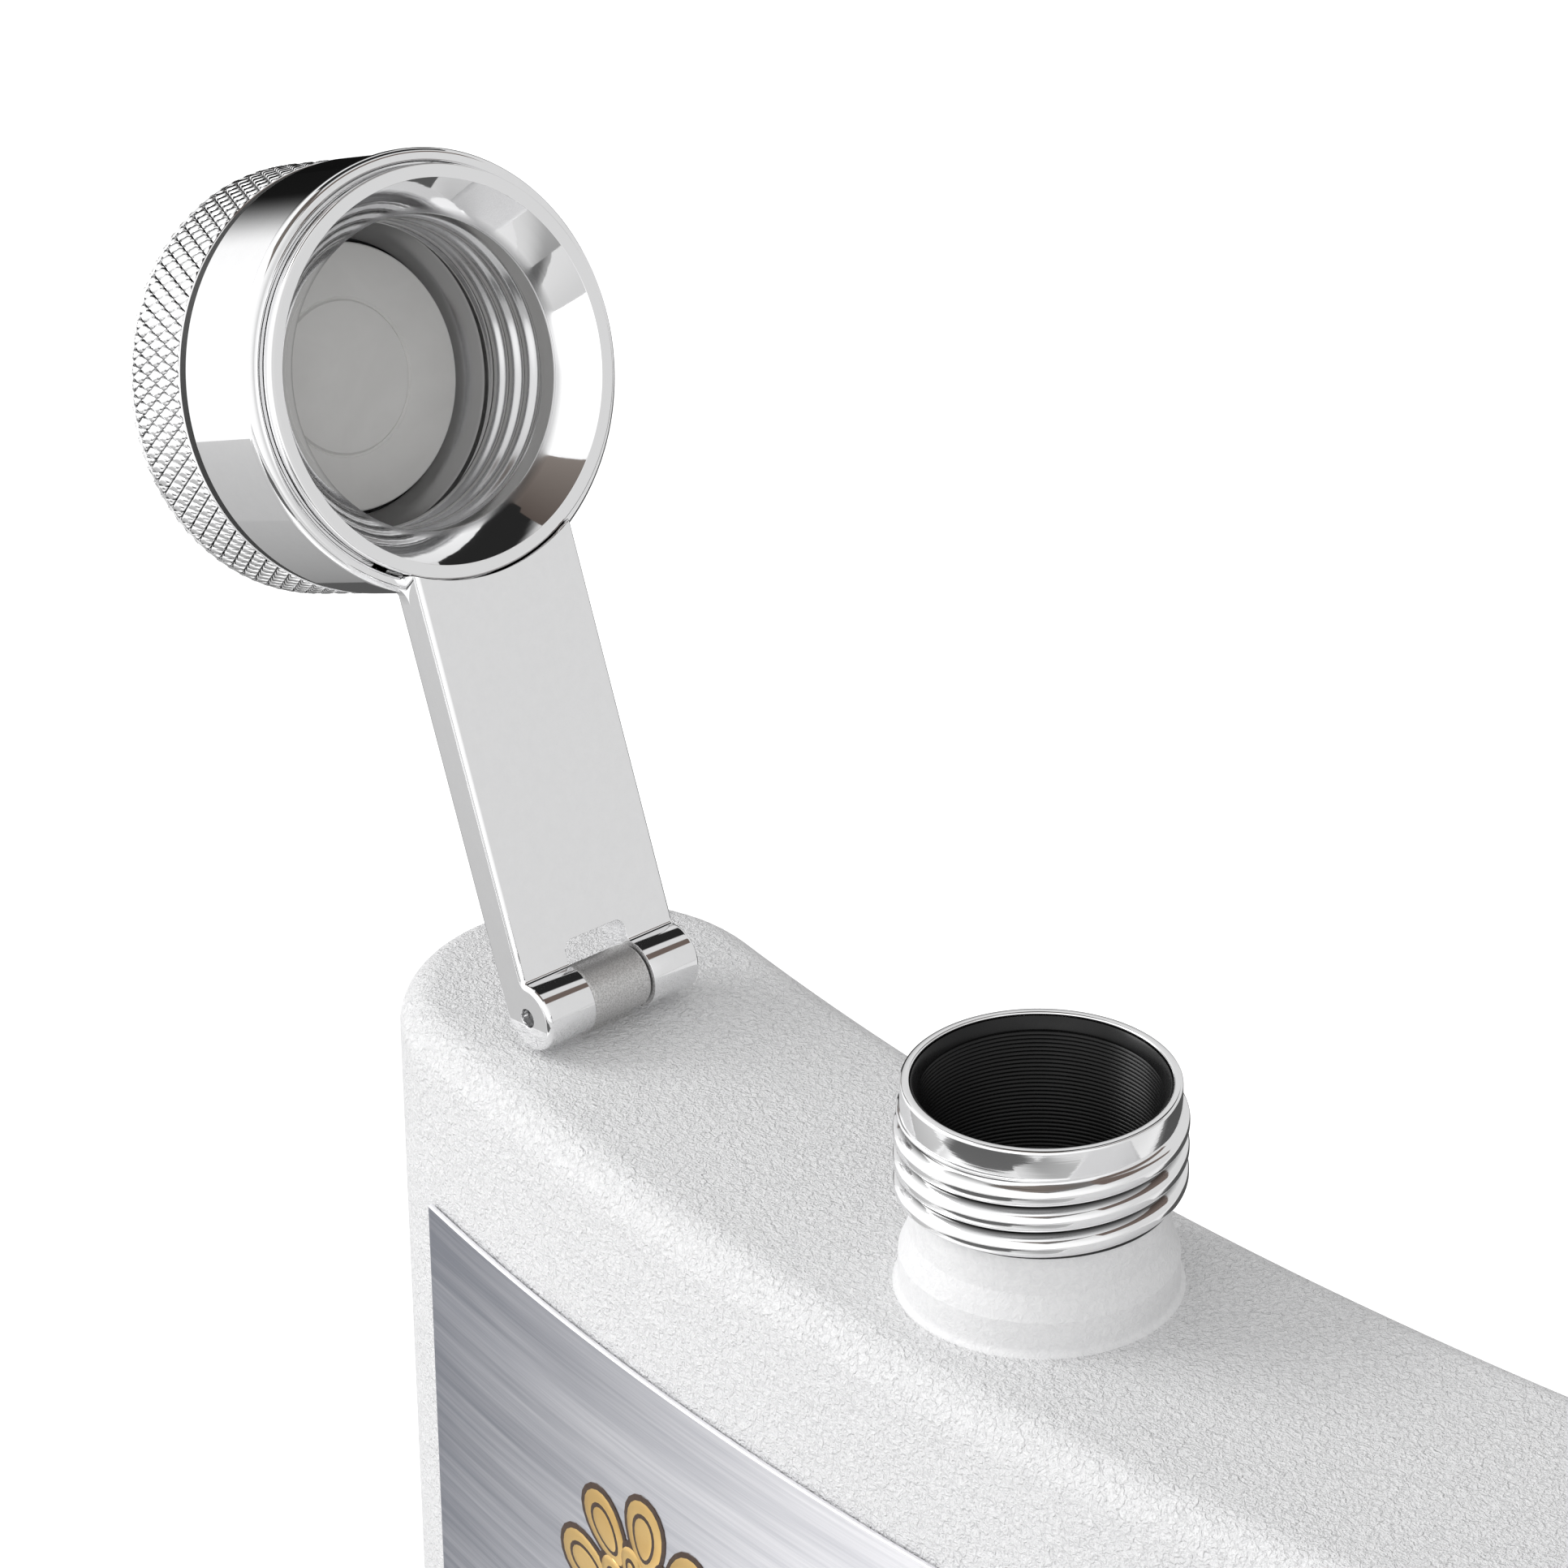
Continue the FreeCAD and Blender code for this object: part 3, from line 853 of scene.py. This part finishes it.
def make_middle_knuckle():
    """A barrel on a narrow foot that the flask's top and the arm hide."""
    side_fit, pin_fit, foot_at = 0.16, 0.03, -0.45
    bm = hinge_rod(lug_radius, lug_length + side_fit)
    rims = [e for e in bm.edges if abs(e.verts[0].co.y - e.verts[1].co.y) < 1e-6]
    bevel_edges(bm, rims, 0.3, 4)
    foot_depth = hinge_height + 0.02
    foot = bmesh.new()
    size = Matrix.Diagonal((lug_foot, lug_length - 0.5, foot_depth, 1))
    bmesh.ops.create_cube(foot, size=1, matrix=Matrix.Translation((foot_at, 0, -foot_depth / 2)) @ size)
    bm = combined(bm, foot, "UNION")
    bm = combined(bm, hinge_rod(pin_radius + pin_fit, 2 * lug_length), "DIFFERENCE")
    finish_piece(bm, "middle_knuckle", "flask", ["hinge_lug"], blasted_steel, hinge_place)


make_middle_knuckle()

# %% [markdown]
# ## Arm and ring
#
# The arm is milled from a bar: its side view is a strip that runs into a round barrel. That side view
# is drawn once, extruded to the bar's width and rounded along its edges. The notch for the middle
# knuckle and the pin's hole are cut out, and the turned ring is joined on at the other end.

# %% Side view of the arm
arm_face, concave, knuckle_round = 0.35, 0.3, 0.5
ring_radius, bead_radius = 12.0, 12.18
mouth_radius, swivel_clearance, bush_radius = 11.27, 0.1, 10.35
bore_radius = mouth_radius + swivel_clearance


def make_bar():
    """The bar with its barrel, rounded along both sides."""
    reach = knuckle_radius + concave
    corner = Vector((math.sqrt(reach ** 2 - (arm_face + concave) ** 2), 0, -arm_face - concave))
    touch = corner * (knuckle_radius / reach)
    side_y = Vector((0, -barrel_length / 2, 0))
    far = hinge_to_neck - ring_radius / 2
    bm = bmesh.new()
    first = bm.verts.new(Vector((far, 0, -arm_face)) + side_y)
    start = bm.verts.new(Vector((corner.x, 0, -arm_face)) + side_y)
    bm.edges.new((first, start))
    inner = math.atan2(touch.x - corner.x, touch.z - corner.z)
    outer = math.atan2(touch.x, touch.z)
    for centre, angle, steps in ((corner, inner, 8), (Vector(), math.tau - outer, 72)):
        start = sweep(bm, start, centre + side_y, angle, steps, axis=(0, 1, 0))
    last = bm.verts.new(Vector((far, 0, knuckle_radius)) + side_y)
    bm.edges.new((start, last))
    bm.edges.new((last, first))
    fill_and_extrude(bm, (0, barrel_length, 0))
    rims = [e for e in bm.edges if abs(e.verts[0].co.y - e.verts[1].co.y) < 1e-6
            and min(e.verts[0].co.x, e.verts[1].co.x) < far - 1e-3]
    bevel_edges(bm, rims, knuckle_round, 6)
    return bm


# %% Cutting tools
def notch_block():
    """The block that is milled away for the middle knuckle, with two rounded corners."""
    side_gap, end_gap, corner_radius = 0.24, 1.5, 0.6
    width = lug_length + side_gap
    notch_end = lug_radius + end_gap
    bm = bmesh.new()
    size = Matrix.Diagonal((8, width, 12, 1))
    bmesh.ops.create_cube(bm, size=1, matrix=Matrix.Translation((notch_end - 4, 0, 0)) @ size)
    corners = [e for e in bm.edges if all(abs(v.co.x - notch_end) < 1e-4 for v in e.verts)
               and abs(e.verts[0].co.z - e.verts[1].co.z) > 1]
    bevel_edges(bm, corners, corner_radius, 6)
    return bm


def soften(bm, width):
    """Small bevels on every edge that turns by more than 40 degrees."""
    bmesh.ops.dissolve_limit(bm, angle_limit=math.radians(0.5), verts=bm.verts[:], edges=bm.edges[:])
    edges = [e for e in bm.edges if len(e.link_faces) == 2 and e.calc_face_angle(0) > math.radians(40)]
    bevel_edges(bm, edges, width, 3)


# %% Ring
def make_ring_mesh():
    shoulder, ring_top, bead_low = 2.95, 7.25, 0.8
    corners = [
        (bore_radius, bead_low, 0.22),
        (bead_radius, bead_low, 0.42),
        (bead_radius, 1.5, 0.05),
        (ring_radius, 1.52),
        (ring_radius, ring_top, 0.15),
        (bush_radius + swivel_clearance, ring_top),
        (bush_radius + swivel_clearance, shoulder),
        (bore_radius, shoulder),
    ]
    bm = turned(rounded(corners, steps=7), steps=256)
    bm.transform(Matrix.Translation((hinge_to_neck, 0, 0)))
    return bm


# %% Web between the bar and the ring
def make_web(side):
    """Fills the concave corner between the bar and the ring."""
    web, half, low = 1.5, barrel_length / 2, 0.9
    reach = ring_radius + web
    along = hinge_to_neck - math.sqrt(reach ** 2 - (half + web) ** 2)
    centre = Vector((along, side * (half + web), low))
    axis_point = Vector((hinge_to_neck, 0, low))
    bm = bmesh.new()
    start = bm.verts.new((along, side * half, low))
    toward = axis_point - centre
    angle = side * (math.pi / 2 - math.atan2(-side * toward.y, toward.x))
    end = sweep(bm, start, centre, angle, 8)
    inner = [bm.verts.new((x, side * (half - 1), low)) for x in (end.co.x + 0.3, start.co.x)]
    for pair in ((end, inner[0]), inner, (inner[1], start)):
        bm.edges.new(pair)
    fill_and_extrude(bm, (0, 0, knuckle_radius - 0.4 - low))
    return bm


# %% Whole arm
def make_arm():
    low, high, mouth_fit = -4, 2.95, 0.05
    middle = Matrix.Translation((hinge_to_neck, 0, (low + high) / 2))
    bm = combined(make_bar(), cylinder(mouth_radius + mouth_fit, high - low, middle, 256), "DIFFERENCE")
    bm = combined(bm, notch_block(), "DIFFERENCE")
    bm = combined(bm, hinge_rod(pin_radius, 2 * barrel_length), "DIFFERENCE")
    soften(bm, 0.14)
    for side in (-1, 1):
        bm = combined(bm, make_web(side), "UNION")
    bm = combined(bm, make_ring_mesh(), "UNION")
    finish_piece(bm, "hinged_arm", "arm", ["hinge_arm"], arm_chrome, arm_place)


make_arm()

# %% [markdown]
# ## Cap
#
# The cap is a threaded bush with a wide bevelled mouth, pushed through the ring and held by a knurled
# head. Bush, head and seal are turned parts. The knurl is real geometry: a grid round the head is poked
# and its own edges dissolved, which leaves diamonds, and each diamond is inset and raised.

# %% Threaded bush
def make_bush():
    mouth_inner, mouth_level = 10.5, -0.05
    throat, root, crest = throat_radius, 8.85, 8.45
    bevel = mouth_inner - throat
    thread_low, thread_high, deep = 3.25, 8.5, 12.2
    ledge_radius, ledge_level = 7.75, 10.3
    corners = [
        (mouth_inner, mouth_level, 0.05),
        (mouth_radius, mouth_level, 0.12),
        (mouth_radius, 2.6),
        (bush_radius, 2.6),
        (bush_radius, deep),
        (ledge_radius, deep),
        (ledge_radius, ledge_level, 0.1),
        (root, thread_high + 0.45),
        (root, thread_low),
        (throat, thread_low - 0.15, 0.05),
        (throat, mouth_level + bevel + 0.16, 0.03),
        (throat + 0.1, mouth_level + bevel + 0.13),
        (throat + 0.1, mouth_level + bevel + 0.05),
        (throat, mouth_level + bevel, 0.02),
    ]
    points = rounded(corners)
    wall = [i for i, p in enumerate(points) if abs(p[0] - root) < 1e-6]
    first, last = wall[0], wall[-1]
    rows = straight(points[first], (root, thread_high), 8) + straight((root, thread_high), points[last], 96)
    points = points[:first] + rows + points[last:]
    bm = turned(points, steps=256)
    wind_thread(bm, root, crest, thread_low + 0.05, thread_high, 1.5, 0.1, 1.2, 0.3)
    finish_piece(
        bm, "cap_threaded_bush", "cap", ["cap_bush"], bush_chrome, cap_place, sharp=100,
        weighted=False)


# %% Knurled head
head_start, head_end, head_radius = 7.85, 13.4, 12.0
diamonds_round, diamond_length = 88, 1.6


def make_head():
    seal_back, deep, edge = 10.93, 12.2, 0.55
    rows = 3
    low = head_start + 0.2
    high = low + rows * diamond_length
    skin = head_radius - 0.3
    points = [
        (0, seal_back), (7.5, seal_back), (7.5, deep), (bush_radius, deep), (bush_radius, head_start),
        (head_radius - 0.1, head_start), (head_radius - 0.02, head_start + 0.06),
    ]
    points += [(skin, low + (high - low) * k / rows) for k in range(rows + 1)]
    points += rounded([(skin, high), (head_radius - 0.1, head_end, edge), (0, head_end)], closed=False)[1:]
    bm = turned(points, closed=False, steps=diamonds_round)

    def on_skin(face):
        middle = face.calc_center_median()
        return low < middle.z < high and math.hypot(middle.x, middle.y) > skin - 0.1

    cells = [f for f in bm.faces if on_skin(f)]
    skin_faces = set(cells)
    grid = [e for e in bm.edges if len(e.link_faces) == 2 and skin_faces.issuperset(e.link_faces)]
    bmesh.ops.poke(bm, faces=cells)
    bmesh.ops.dissolve_edges(bm, edges=[e for e in grid if e.is_valid], use_verts=False)
    diamonds = [f for f in bm.faces if on_skin(f)]
    bmesh.ops.inset_individual(bm, faces=diamonds, thickness=0.09, depth=0.24, use_even_offset=True)
    bmesh.ops.inset_individual(bm, faces=diamonds, thickness=0.11, depth=0.05, use_even_offset=True)
    finish_piece(
        bm, "cap_knurled_head", "cap", ["cap_head"], knurl_chrome, cap_place, sharp=70,
        weighted=False)
    print(len(diamonds), "diamonds")


# %% Seal and washer
def make_seal():
    face, thick, radius, line = 9.73, 1.2, 7.5, 4.35
    points = [
        (0, face), (line - 0.13, face), (line, face + 0.14), (line + 0.13, face),
        *rounded([(line + 0.13, face), (radius, face, 0.12), (radius, face + thick)], closed=False)[1:],
        (0, face + thick),
    ]
    bm = turned(points, closed=False, steps=128)
    finish_piece(bm, "cap_seal", "cap", ["seal_disc"], grey_seal, cap_place)


def make_washer():
    low, high, radius = 7.29, head_start, 11.92
    corners = [(bush_radius, low), (radius, low, 0.05), (radius, high, 0.05), (bush_radius, high)]
    bm = turned(rounded(corners))
    finish_piece(bm, "cap_washer", "cap", ["swivel_washer"], black_nylon, cap_place)


make_bush()
make_head()
make_seal()
make_washer()

# %% [markdown]
# ## Label and its ornament
#
# The label is a brushed plate, bent to the front of the flask and held by a film of glue. On it lie
# two plain rosettes and a garland. They are drawn flat and then laid on the plate's curve.

# %% Label plate
plate_low, plate_high = (Vector(c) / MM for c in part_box("label_plate"))
label_half = plate_high.x
glue, plate = 0.1, 0.35
plate_radius = front_radius + glue + plate


def make_label():
    outer_turn = math.asin(label_half / plate_radius)
    bm = bmesh.new()
    start = front_centre + plate_radius * Vector((-math.sin(outer_turn), -math.cos(outer_turn), 0))
    first = bm.verts.new((start.x, start.y, plate_low.z))
    sweep(bm, first, front_centre, 2 * outer_turn, 96)
    drawn_up(bm, plate_high.z - plate_low.z)
    bmesh.ops.recalc_face_normals(bm, faces=bm.faces)
    if bm.faces[:][0].normal.y > 0:
        bmesh.ops.reverse_faces(bm, faces=bm.faces)
    bm = as_sheet(bm, plate)
    edges = [e for e in bm.edges if e.calc_face_angle(0) > math.radians(40)]
    bevel_edges(bm, edges, 0.12, 3)
    finish_piece(bm, "label_brushed", "flask", ["label_plate"], brushed_label)


# %% Lay a flat drawing on the label
def lay_on_label(bm):
    """X and Z stay, and Y, which is minus the height above the plate, follows the curve."""
    for v in bm.verts:
        radius = plate_radius - v.co.y
        v.co.y = front_centre.y - math.sqrt(radius ** 2 - v.co.x ** 2)


def leaf_template():
    """One pillow-shaped leaf of unit length and half width, with a raised middle."""
    bm = bmesh.new()
    bmesh.ops.create_circle(bm, cap_ends=True, segments=22, radius=1.0)
    raised = bmesh.ops.extrude_face_region(bm, geom=bm.faces[:])
    top = [g for g in raised["geom"] if isinstance(g, bmesh.types.BMFace)][0]
    bmesh.ops.translate(bm, verts=top.verts, vec=(0, 0, 0.5))
    for thickness, depth in ((0.1, 0.32), (0.2, 0.16), (0.3, 0.04)):
        bmesh.ops.inset_region(bm, faces=[top], thickness=thickness, depth=depth)
    bmesh.ops.recalc_face_normals(bm, faces=bm.faces)
    mesh = bpy.data.meshes.new("leaf_template")
    bm.to_mesh(mesh)
    bm.free()
    return mesh


def add_leaf(bm, template, root, direction, length, width, height):
    """A leaf that lies flat in the XZ plane, narrower at its root."""
    old = len(bm.verts)
    bm.from_mesh(template)
    axis = Vector((direction.x, 0, direction.y)).normalized()
    side = Vector((axis.z, 0, -axis.x))
    for v in bm.verts[:][old:]:
        along, sideways, up = (v.co.x + 1) / 2, v.co.y * width / 2, v.co.z
        taper = 0.62 + 0.38 * along
        v.co = Vector((root.x, 0, root.y)) + axis * along * length + side * sideways * taper
        v.co.y = -up * height


# %% Rosettes and garland
ornament_height = 0.25
rosette_offset, rosette_drop, rosette_radius, petal_count = 19.2, 26.4, 8.0, 9
garland_sag = 11.0


def add_rosettes(bm, template, grow, height):
    """Two rings of petals round a button, once on each side."""
    level = top_level - rosette_drop
    for side in (-1, 1):
        middle = Vector((side * rosette_offset, level))
        rings = (rosette_radius, 3.2, 3.9, 0.0, 1.0), (4.6, 1.5, 2.5, 0.5, 1.5)
        for reach, start, wide, turn, layer in rings:
            for k in range(petal_count):
                angle = math.radians(90) + math.tau * (k + turn) / petal_count
                way = Vector((math.cos(angle), math.sin(angle)))
                length, width = reach - start + 2 * grow, wide + 2 * grow
                add_leaf(bm, template, middle + way * (start - grow), way, length, width, height * layer)
        button = 2.6 + 2 * grow
        add_leaf(bm, template, middle - Vector((button / 2, 0)), Vector((1, 0)), button, button, height * 1.9)


def add_garland(bm, template, grow, height):
    """Pairs of small leaves along a hanging curve from one rosette to the other."""
    level = top_level - rosette_drop
    gap = rosette_offset - rosette_radius
    pairs, leaf_length, leaf_width, spread = 10, 2.6, 1.15, 0.75
    for k in range(1 - pairs, pairs):
        t = k / pairs
        outwards = -1 if t < 0 else 1
        point = Vector((t * gap, level - garland_sag * (1 - t * t)))
        way = Vector((outwards, abs(t) * 2 * garland_sag / gap)).normalized()
        for lean in (-spread, spread):
            tip = (way + lean * Vector((-way.y, way.x))).normalized()
            length, width = leaf_length + 2 * grow, leaf_width + 2 * grow
            add_leaf(bm, template, point - tip * grow, tip, length, width, height)


def make_ornament():
    """Dark outline, gold, a dark line inside each petal, and gold again."""
    template = leaf_template()
    dark, gold = bmesh.new(), bmesh.new()
    layers = [
        (dark, add_rosettes, 0.3, 0.35), (dark, add_garland, 0.3, 0.35), (dark, add_rosettes, -0.5, 0.68),
        (gold, add_rosettes, -0.05, 0.6), (gold, add_garland, -0.1, 0.6), (gold, add_rosettes, -0.8, 0.76),
    ]
    for bm, add, grow, share in layers:
        add(bm, template, grow, ornament_height * share)
    for bm in (dark, gold):
        lay_on_label(bm)
    finish_piece(
        dark, "ornament_outline", "flask", None, outline_brown, sharp=60, weighted=False)
    finish_piece(
        gold, "ornament_gold", "flask", ["label_ornament"], gold_foil, sharp=60, weighted=False)


make_label()
make_ornament()

# %% [markdown]
# ## Kept frame parts
#
# The hinge pin and the film of glue have the right shape already, so they stay as they are and only
# get their finish.

# %% Finish the kept parts
for node, material in (("hinge_pin", pin_steel), ("label_glue", glue_film)):
    kept = frame["nodes"][node]
    for holder in kept.material_slots:
        holder.material = material

# %% [markdown]
# ## Studio
#
# Polished metal shows the room more than itself, so the room has to be right: white all round, a
# little brighter in front and to the left, with a few panels that only reflections see. The panels lie
# on the floor or hang in the air, and each gives one dark or bright stripe in the chrome. The floor is
# plain and pale. It shines a little by itself for the camera, so that it ends in plain white.

# %% Floor
def make_floor():
    bm = bmesh.new()
    bmesh.ops.create_grid(bm, x_segments=1, y_segments=1, size=1.5)
    floor = as_object(bm, "floor")
    material, tree, shader, _ = new_material(
        "pale_floor", (0.86, 0.86, 0.86), 0.9, Specular_IOR_Level=0.0, Emission_Color=(1, 1, 1, 1))
    path = tree.nodes.new("ShaderNodeLightPath")
    shine = times(tree, path.outputs["Is Camera Ray"], 0.45)
    tree.links.new(shine, shader.inputs["Emission Strength"])
    floor.data.materials.append(material)


# %% Panels that only reflections see
def make_panel(name, place, size, colour, rim, soft):
    """A rectangle, in metres, whose colour runs from its first edge to its last along its own Y.

    Its sides fade into the tone given as rim over the soft share of its width.
    """
    width, length = size
    bm = bmesh.new()
    bmesh.ops.create_grid(bm, x_segments=1, y_segments=1, size=0.5)
    bm.transform(place @ Matrix.Diagonal((width, length, 1, 1)))
    panel = as_object(bm, name)
    material, tree, shader, where = new_material(
        name, (0, 0, 0), 1.0, Specular_IOR_Level=0.0, Emission_Strength=1.0)
    parts = parts_of(tree, centred(tree, where, place, unit=1))
    body = blend(tree, ramp(tree, parts["Y"], -length / 2, length / 2), colour[0], colour[-1])
    off_middle = maths(tree, "ABSOLUTE", parts["X"])
    inwards = ramp(tree, off_middle, width / 2, width * (0.5 - soft), kind="SMOOTHSTEP")
    tree.links.new(blend(tree, inwards, (rim, rim, rim), body), shader.inputs["Emission Color"])
    panel.data.materials.append(material)
    for way in ("camera", "diffuse", "transmission", "volume_scatter", "shadow"):
        setattr(panel, "visible_" + way, False)


def grey(*tones):
    return [(tone, tone, tone) for tone in tones]


def flat_panel(name, low, high, level, colour, rim, soft=0.3):
    """A panel parallel to the floor, in metres."""
    place = Matrix.Translation(((low[0] + high[0]) / 2, (low[1] + high[1]) / 2, level))
    make_panel(name, place, (high[0] - low[0], high[1] - low[1]), colour, rim, soft)


def hanging_panel(name, low, high, colour, soft):
    """A panel along Y that fills the angles from low to high above +X, seen from the cap."""
    distance, length, rim = 0.5, 0.62, 0.72
    angle = math.radians((low + high) / 2)
    width = 2 * distance * math.tan(math.radians(high - low) / 2)
    middle = Vector((distance * math.cos(angle) - 0.04, 0.38, distance * math.sin(angle) + 0.15))
    place = Matrix.Translation(middle) @ Matrix.Rotation(math.pi / 2 - angle, 4, "Y")
    make_panel(name, place, (width, length), colour, rim, soft)


make_floor()
flat_panel("bright_left", (-2.4, -1.6), (-0.33, 0.1), 0.001, grey(1.15), 1.15)
flat_panel("dark_far", (-2.4, 0.2), (-0.45, 1.8), 0.001, grey(0.006), 0.006)
flat_panel("pale_left", (-0.33, -0.2), (-0.16, -0.05), 0.002, grey(0.66, 0.52), 0.66, 0.1)
flat_panel("shade_left", (-0.33, -0.05), (-0.1, 0.22), 0.002, grey(0.48, 0.02), 0.36, 0.1)
flat_panel("bright_front", (-0.15, -0.19), (0.04, -0.05), 0.002, grey(1.25), 0.8, 0.3)
flat_panel("shade_behind", (-0.3, 0.07), (0.1, 0.6), 0.003, grey(0.1, 0.07), 0.2, 0.1)
flat_panel("shade_in_front", (-0.17, -0.45), (0.2, -0.2), 0.002, grey(0.12, 0.14), 0.4, 0.12)
flat_panel("shade_right", (0.09, -0.22), (0.3, -0.06), 0.003, grey(0.34, 0.5), 0.75, 0.4)
flat_panel("pale_right", (0.12, -0.02), (0.9, 0.6), 0.002, grey(0.8), 0.9, 0.15)
flat_panel("brown_above", (-0.2, -0.2), (0.22, 0.09), 0.66, [(0.24, 0.21, 0.19), (0.1, 0.08, 0.07)], 0.2)
hanging_panel("dark_above", 86, 128, grey(0.02), 0.12)
hanging_panel("brown_strip", 50, 71, [(0.16, 0.125, 0.11)], 0.15)


# %% World
def make_world():
    world = bpy.data.worlds.new("studio")
    scene.world = world
    world.use_nodes = True
    tree = world.node_tree
    tree.nodes.clear()
    coords = tree.nodes.new("ShaderNodeTexCoord")
    path = tree.nodes.new("ShaderNodeLightPath")
    glossy = path.outputs["Is Glossy Ray"]

    def lobe(direction, inner, outer):
        """1 within the inner angle of a direction, and 0 beyond the outer one."""
        dot = add_node(tree, "ShaderNodeVectorMath", operation="DOT_PRODUCT")
        dot.inputs[1].default_value = Vector(direction).normalized()
        tree.links.new(coords.outputs["Generated"], dot.inputs[0])
        edge, core = (math.cos(math.radians(a)) for a in (outer, inner))
        return ramp(tree, dot.outputs["Value"], edge, core, kind="SMOOTHSTEP")

    main_side = times(tree, lobe((-0.62, -0.72, 0.3), 0, 95), 0.44)
    right_side = times(tree, lobe((0.72, -0.6, 0.36), 0, 66), 0.36)
    everywhere = plus(tree, 0.56, times(tree, glossy, 0.18))
    light = plus(tree, everywhere, plus(tree, main_side, right_side))
    dark_behind = lobe((-0.83, 0.55, 0.0), 12, 34)
    bright_ahead = lobe((0.58, -0.81, 0.1), 4, 26)
    for patch, share in ((dark_behind, 0.99), (bright_ahead, -0.4)):
        change = times(tree, times(tree, patch, glossy), share)
        light = times(tree, light, maths(tree, "SUBTRACT", 1.0, change))
    seen = maths(tree, "MAXIMUM", light, path.outputs["Is Camera Ray"])
    background = add_node(tree, "ShaderNodeBackground", Color=(1, 1, 1, 1), Strength=seen)
    out = tree.nodes.new("ShaderNodeOutputWorld")
    tree.links.new(background.outputs[0], out.inputs["Surface"])


make_world()


# %% Lamps
def make_lamp(name, at, aim, size, power):
    """A square soft box at a place, in metres, that points at another."""
    data = bpy.data.lights.new(name, "AREA")
    data.shape, data.size, data.energy = "SQUARE", size, power
    lamp = bpy.data.objects.new(name, data)
    lamp.location = at
    lamp.rotation_euler = (Vector(aim) - Vector(at)).to_track_quat("-Z", "Y").to_euler()
    scene.collection.objects.link(lamp)


make_lamp("soft_box_left", (-0.45, -0.35, 0.5), (0, 0, 0.1), 0.35, 1.8)
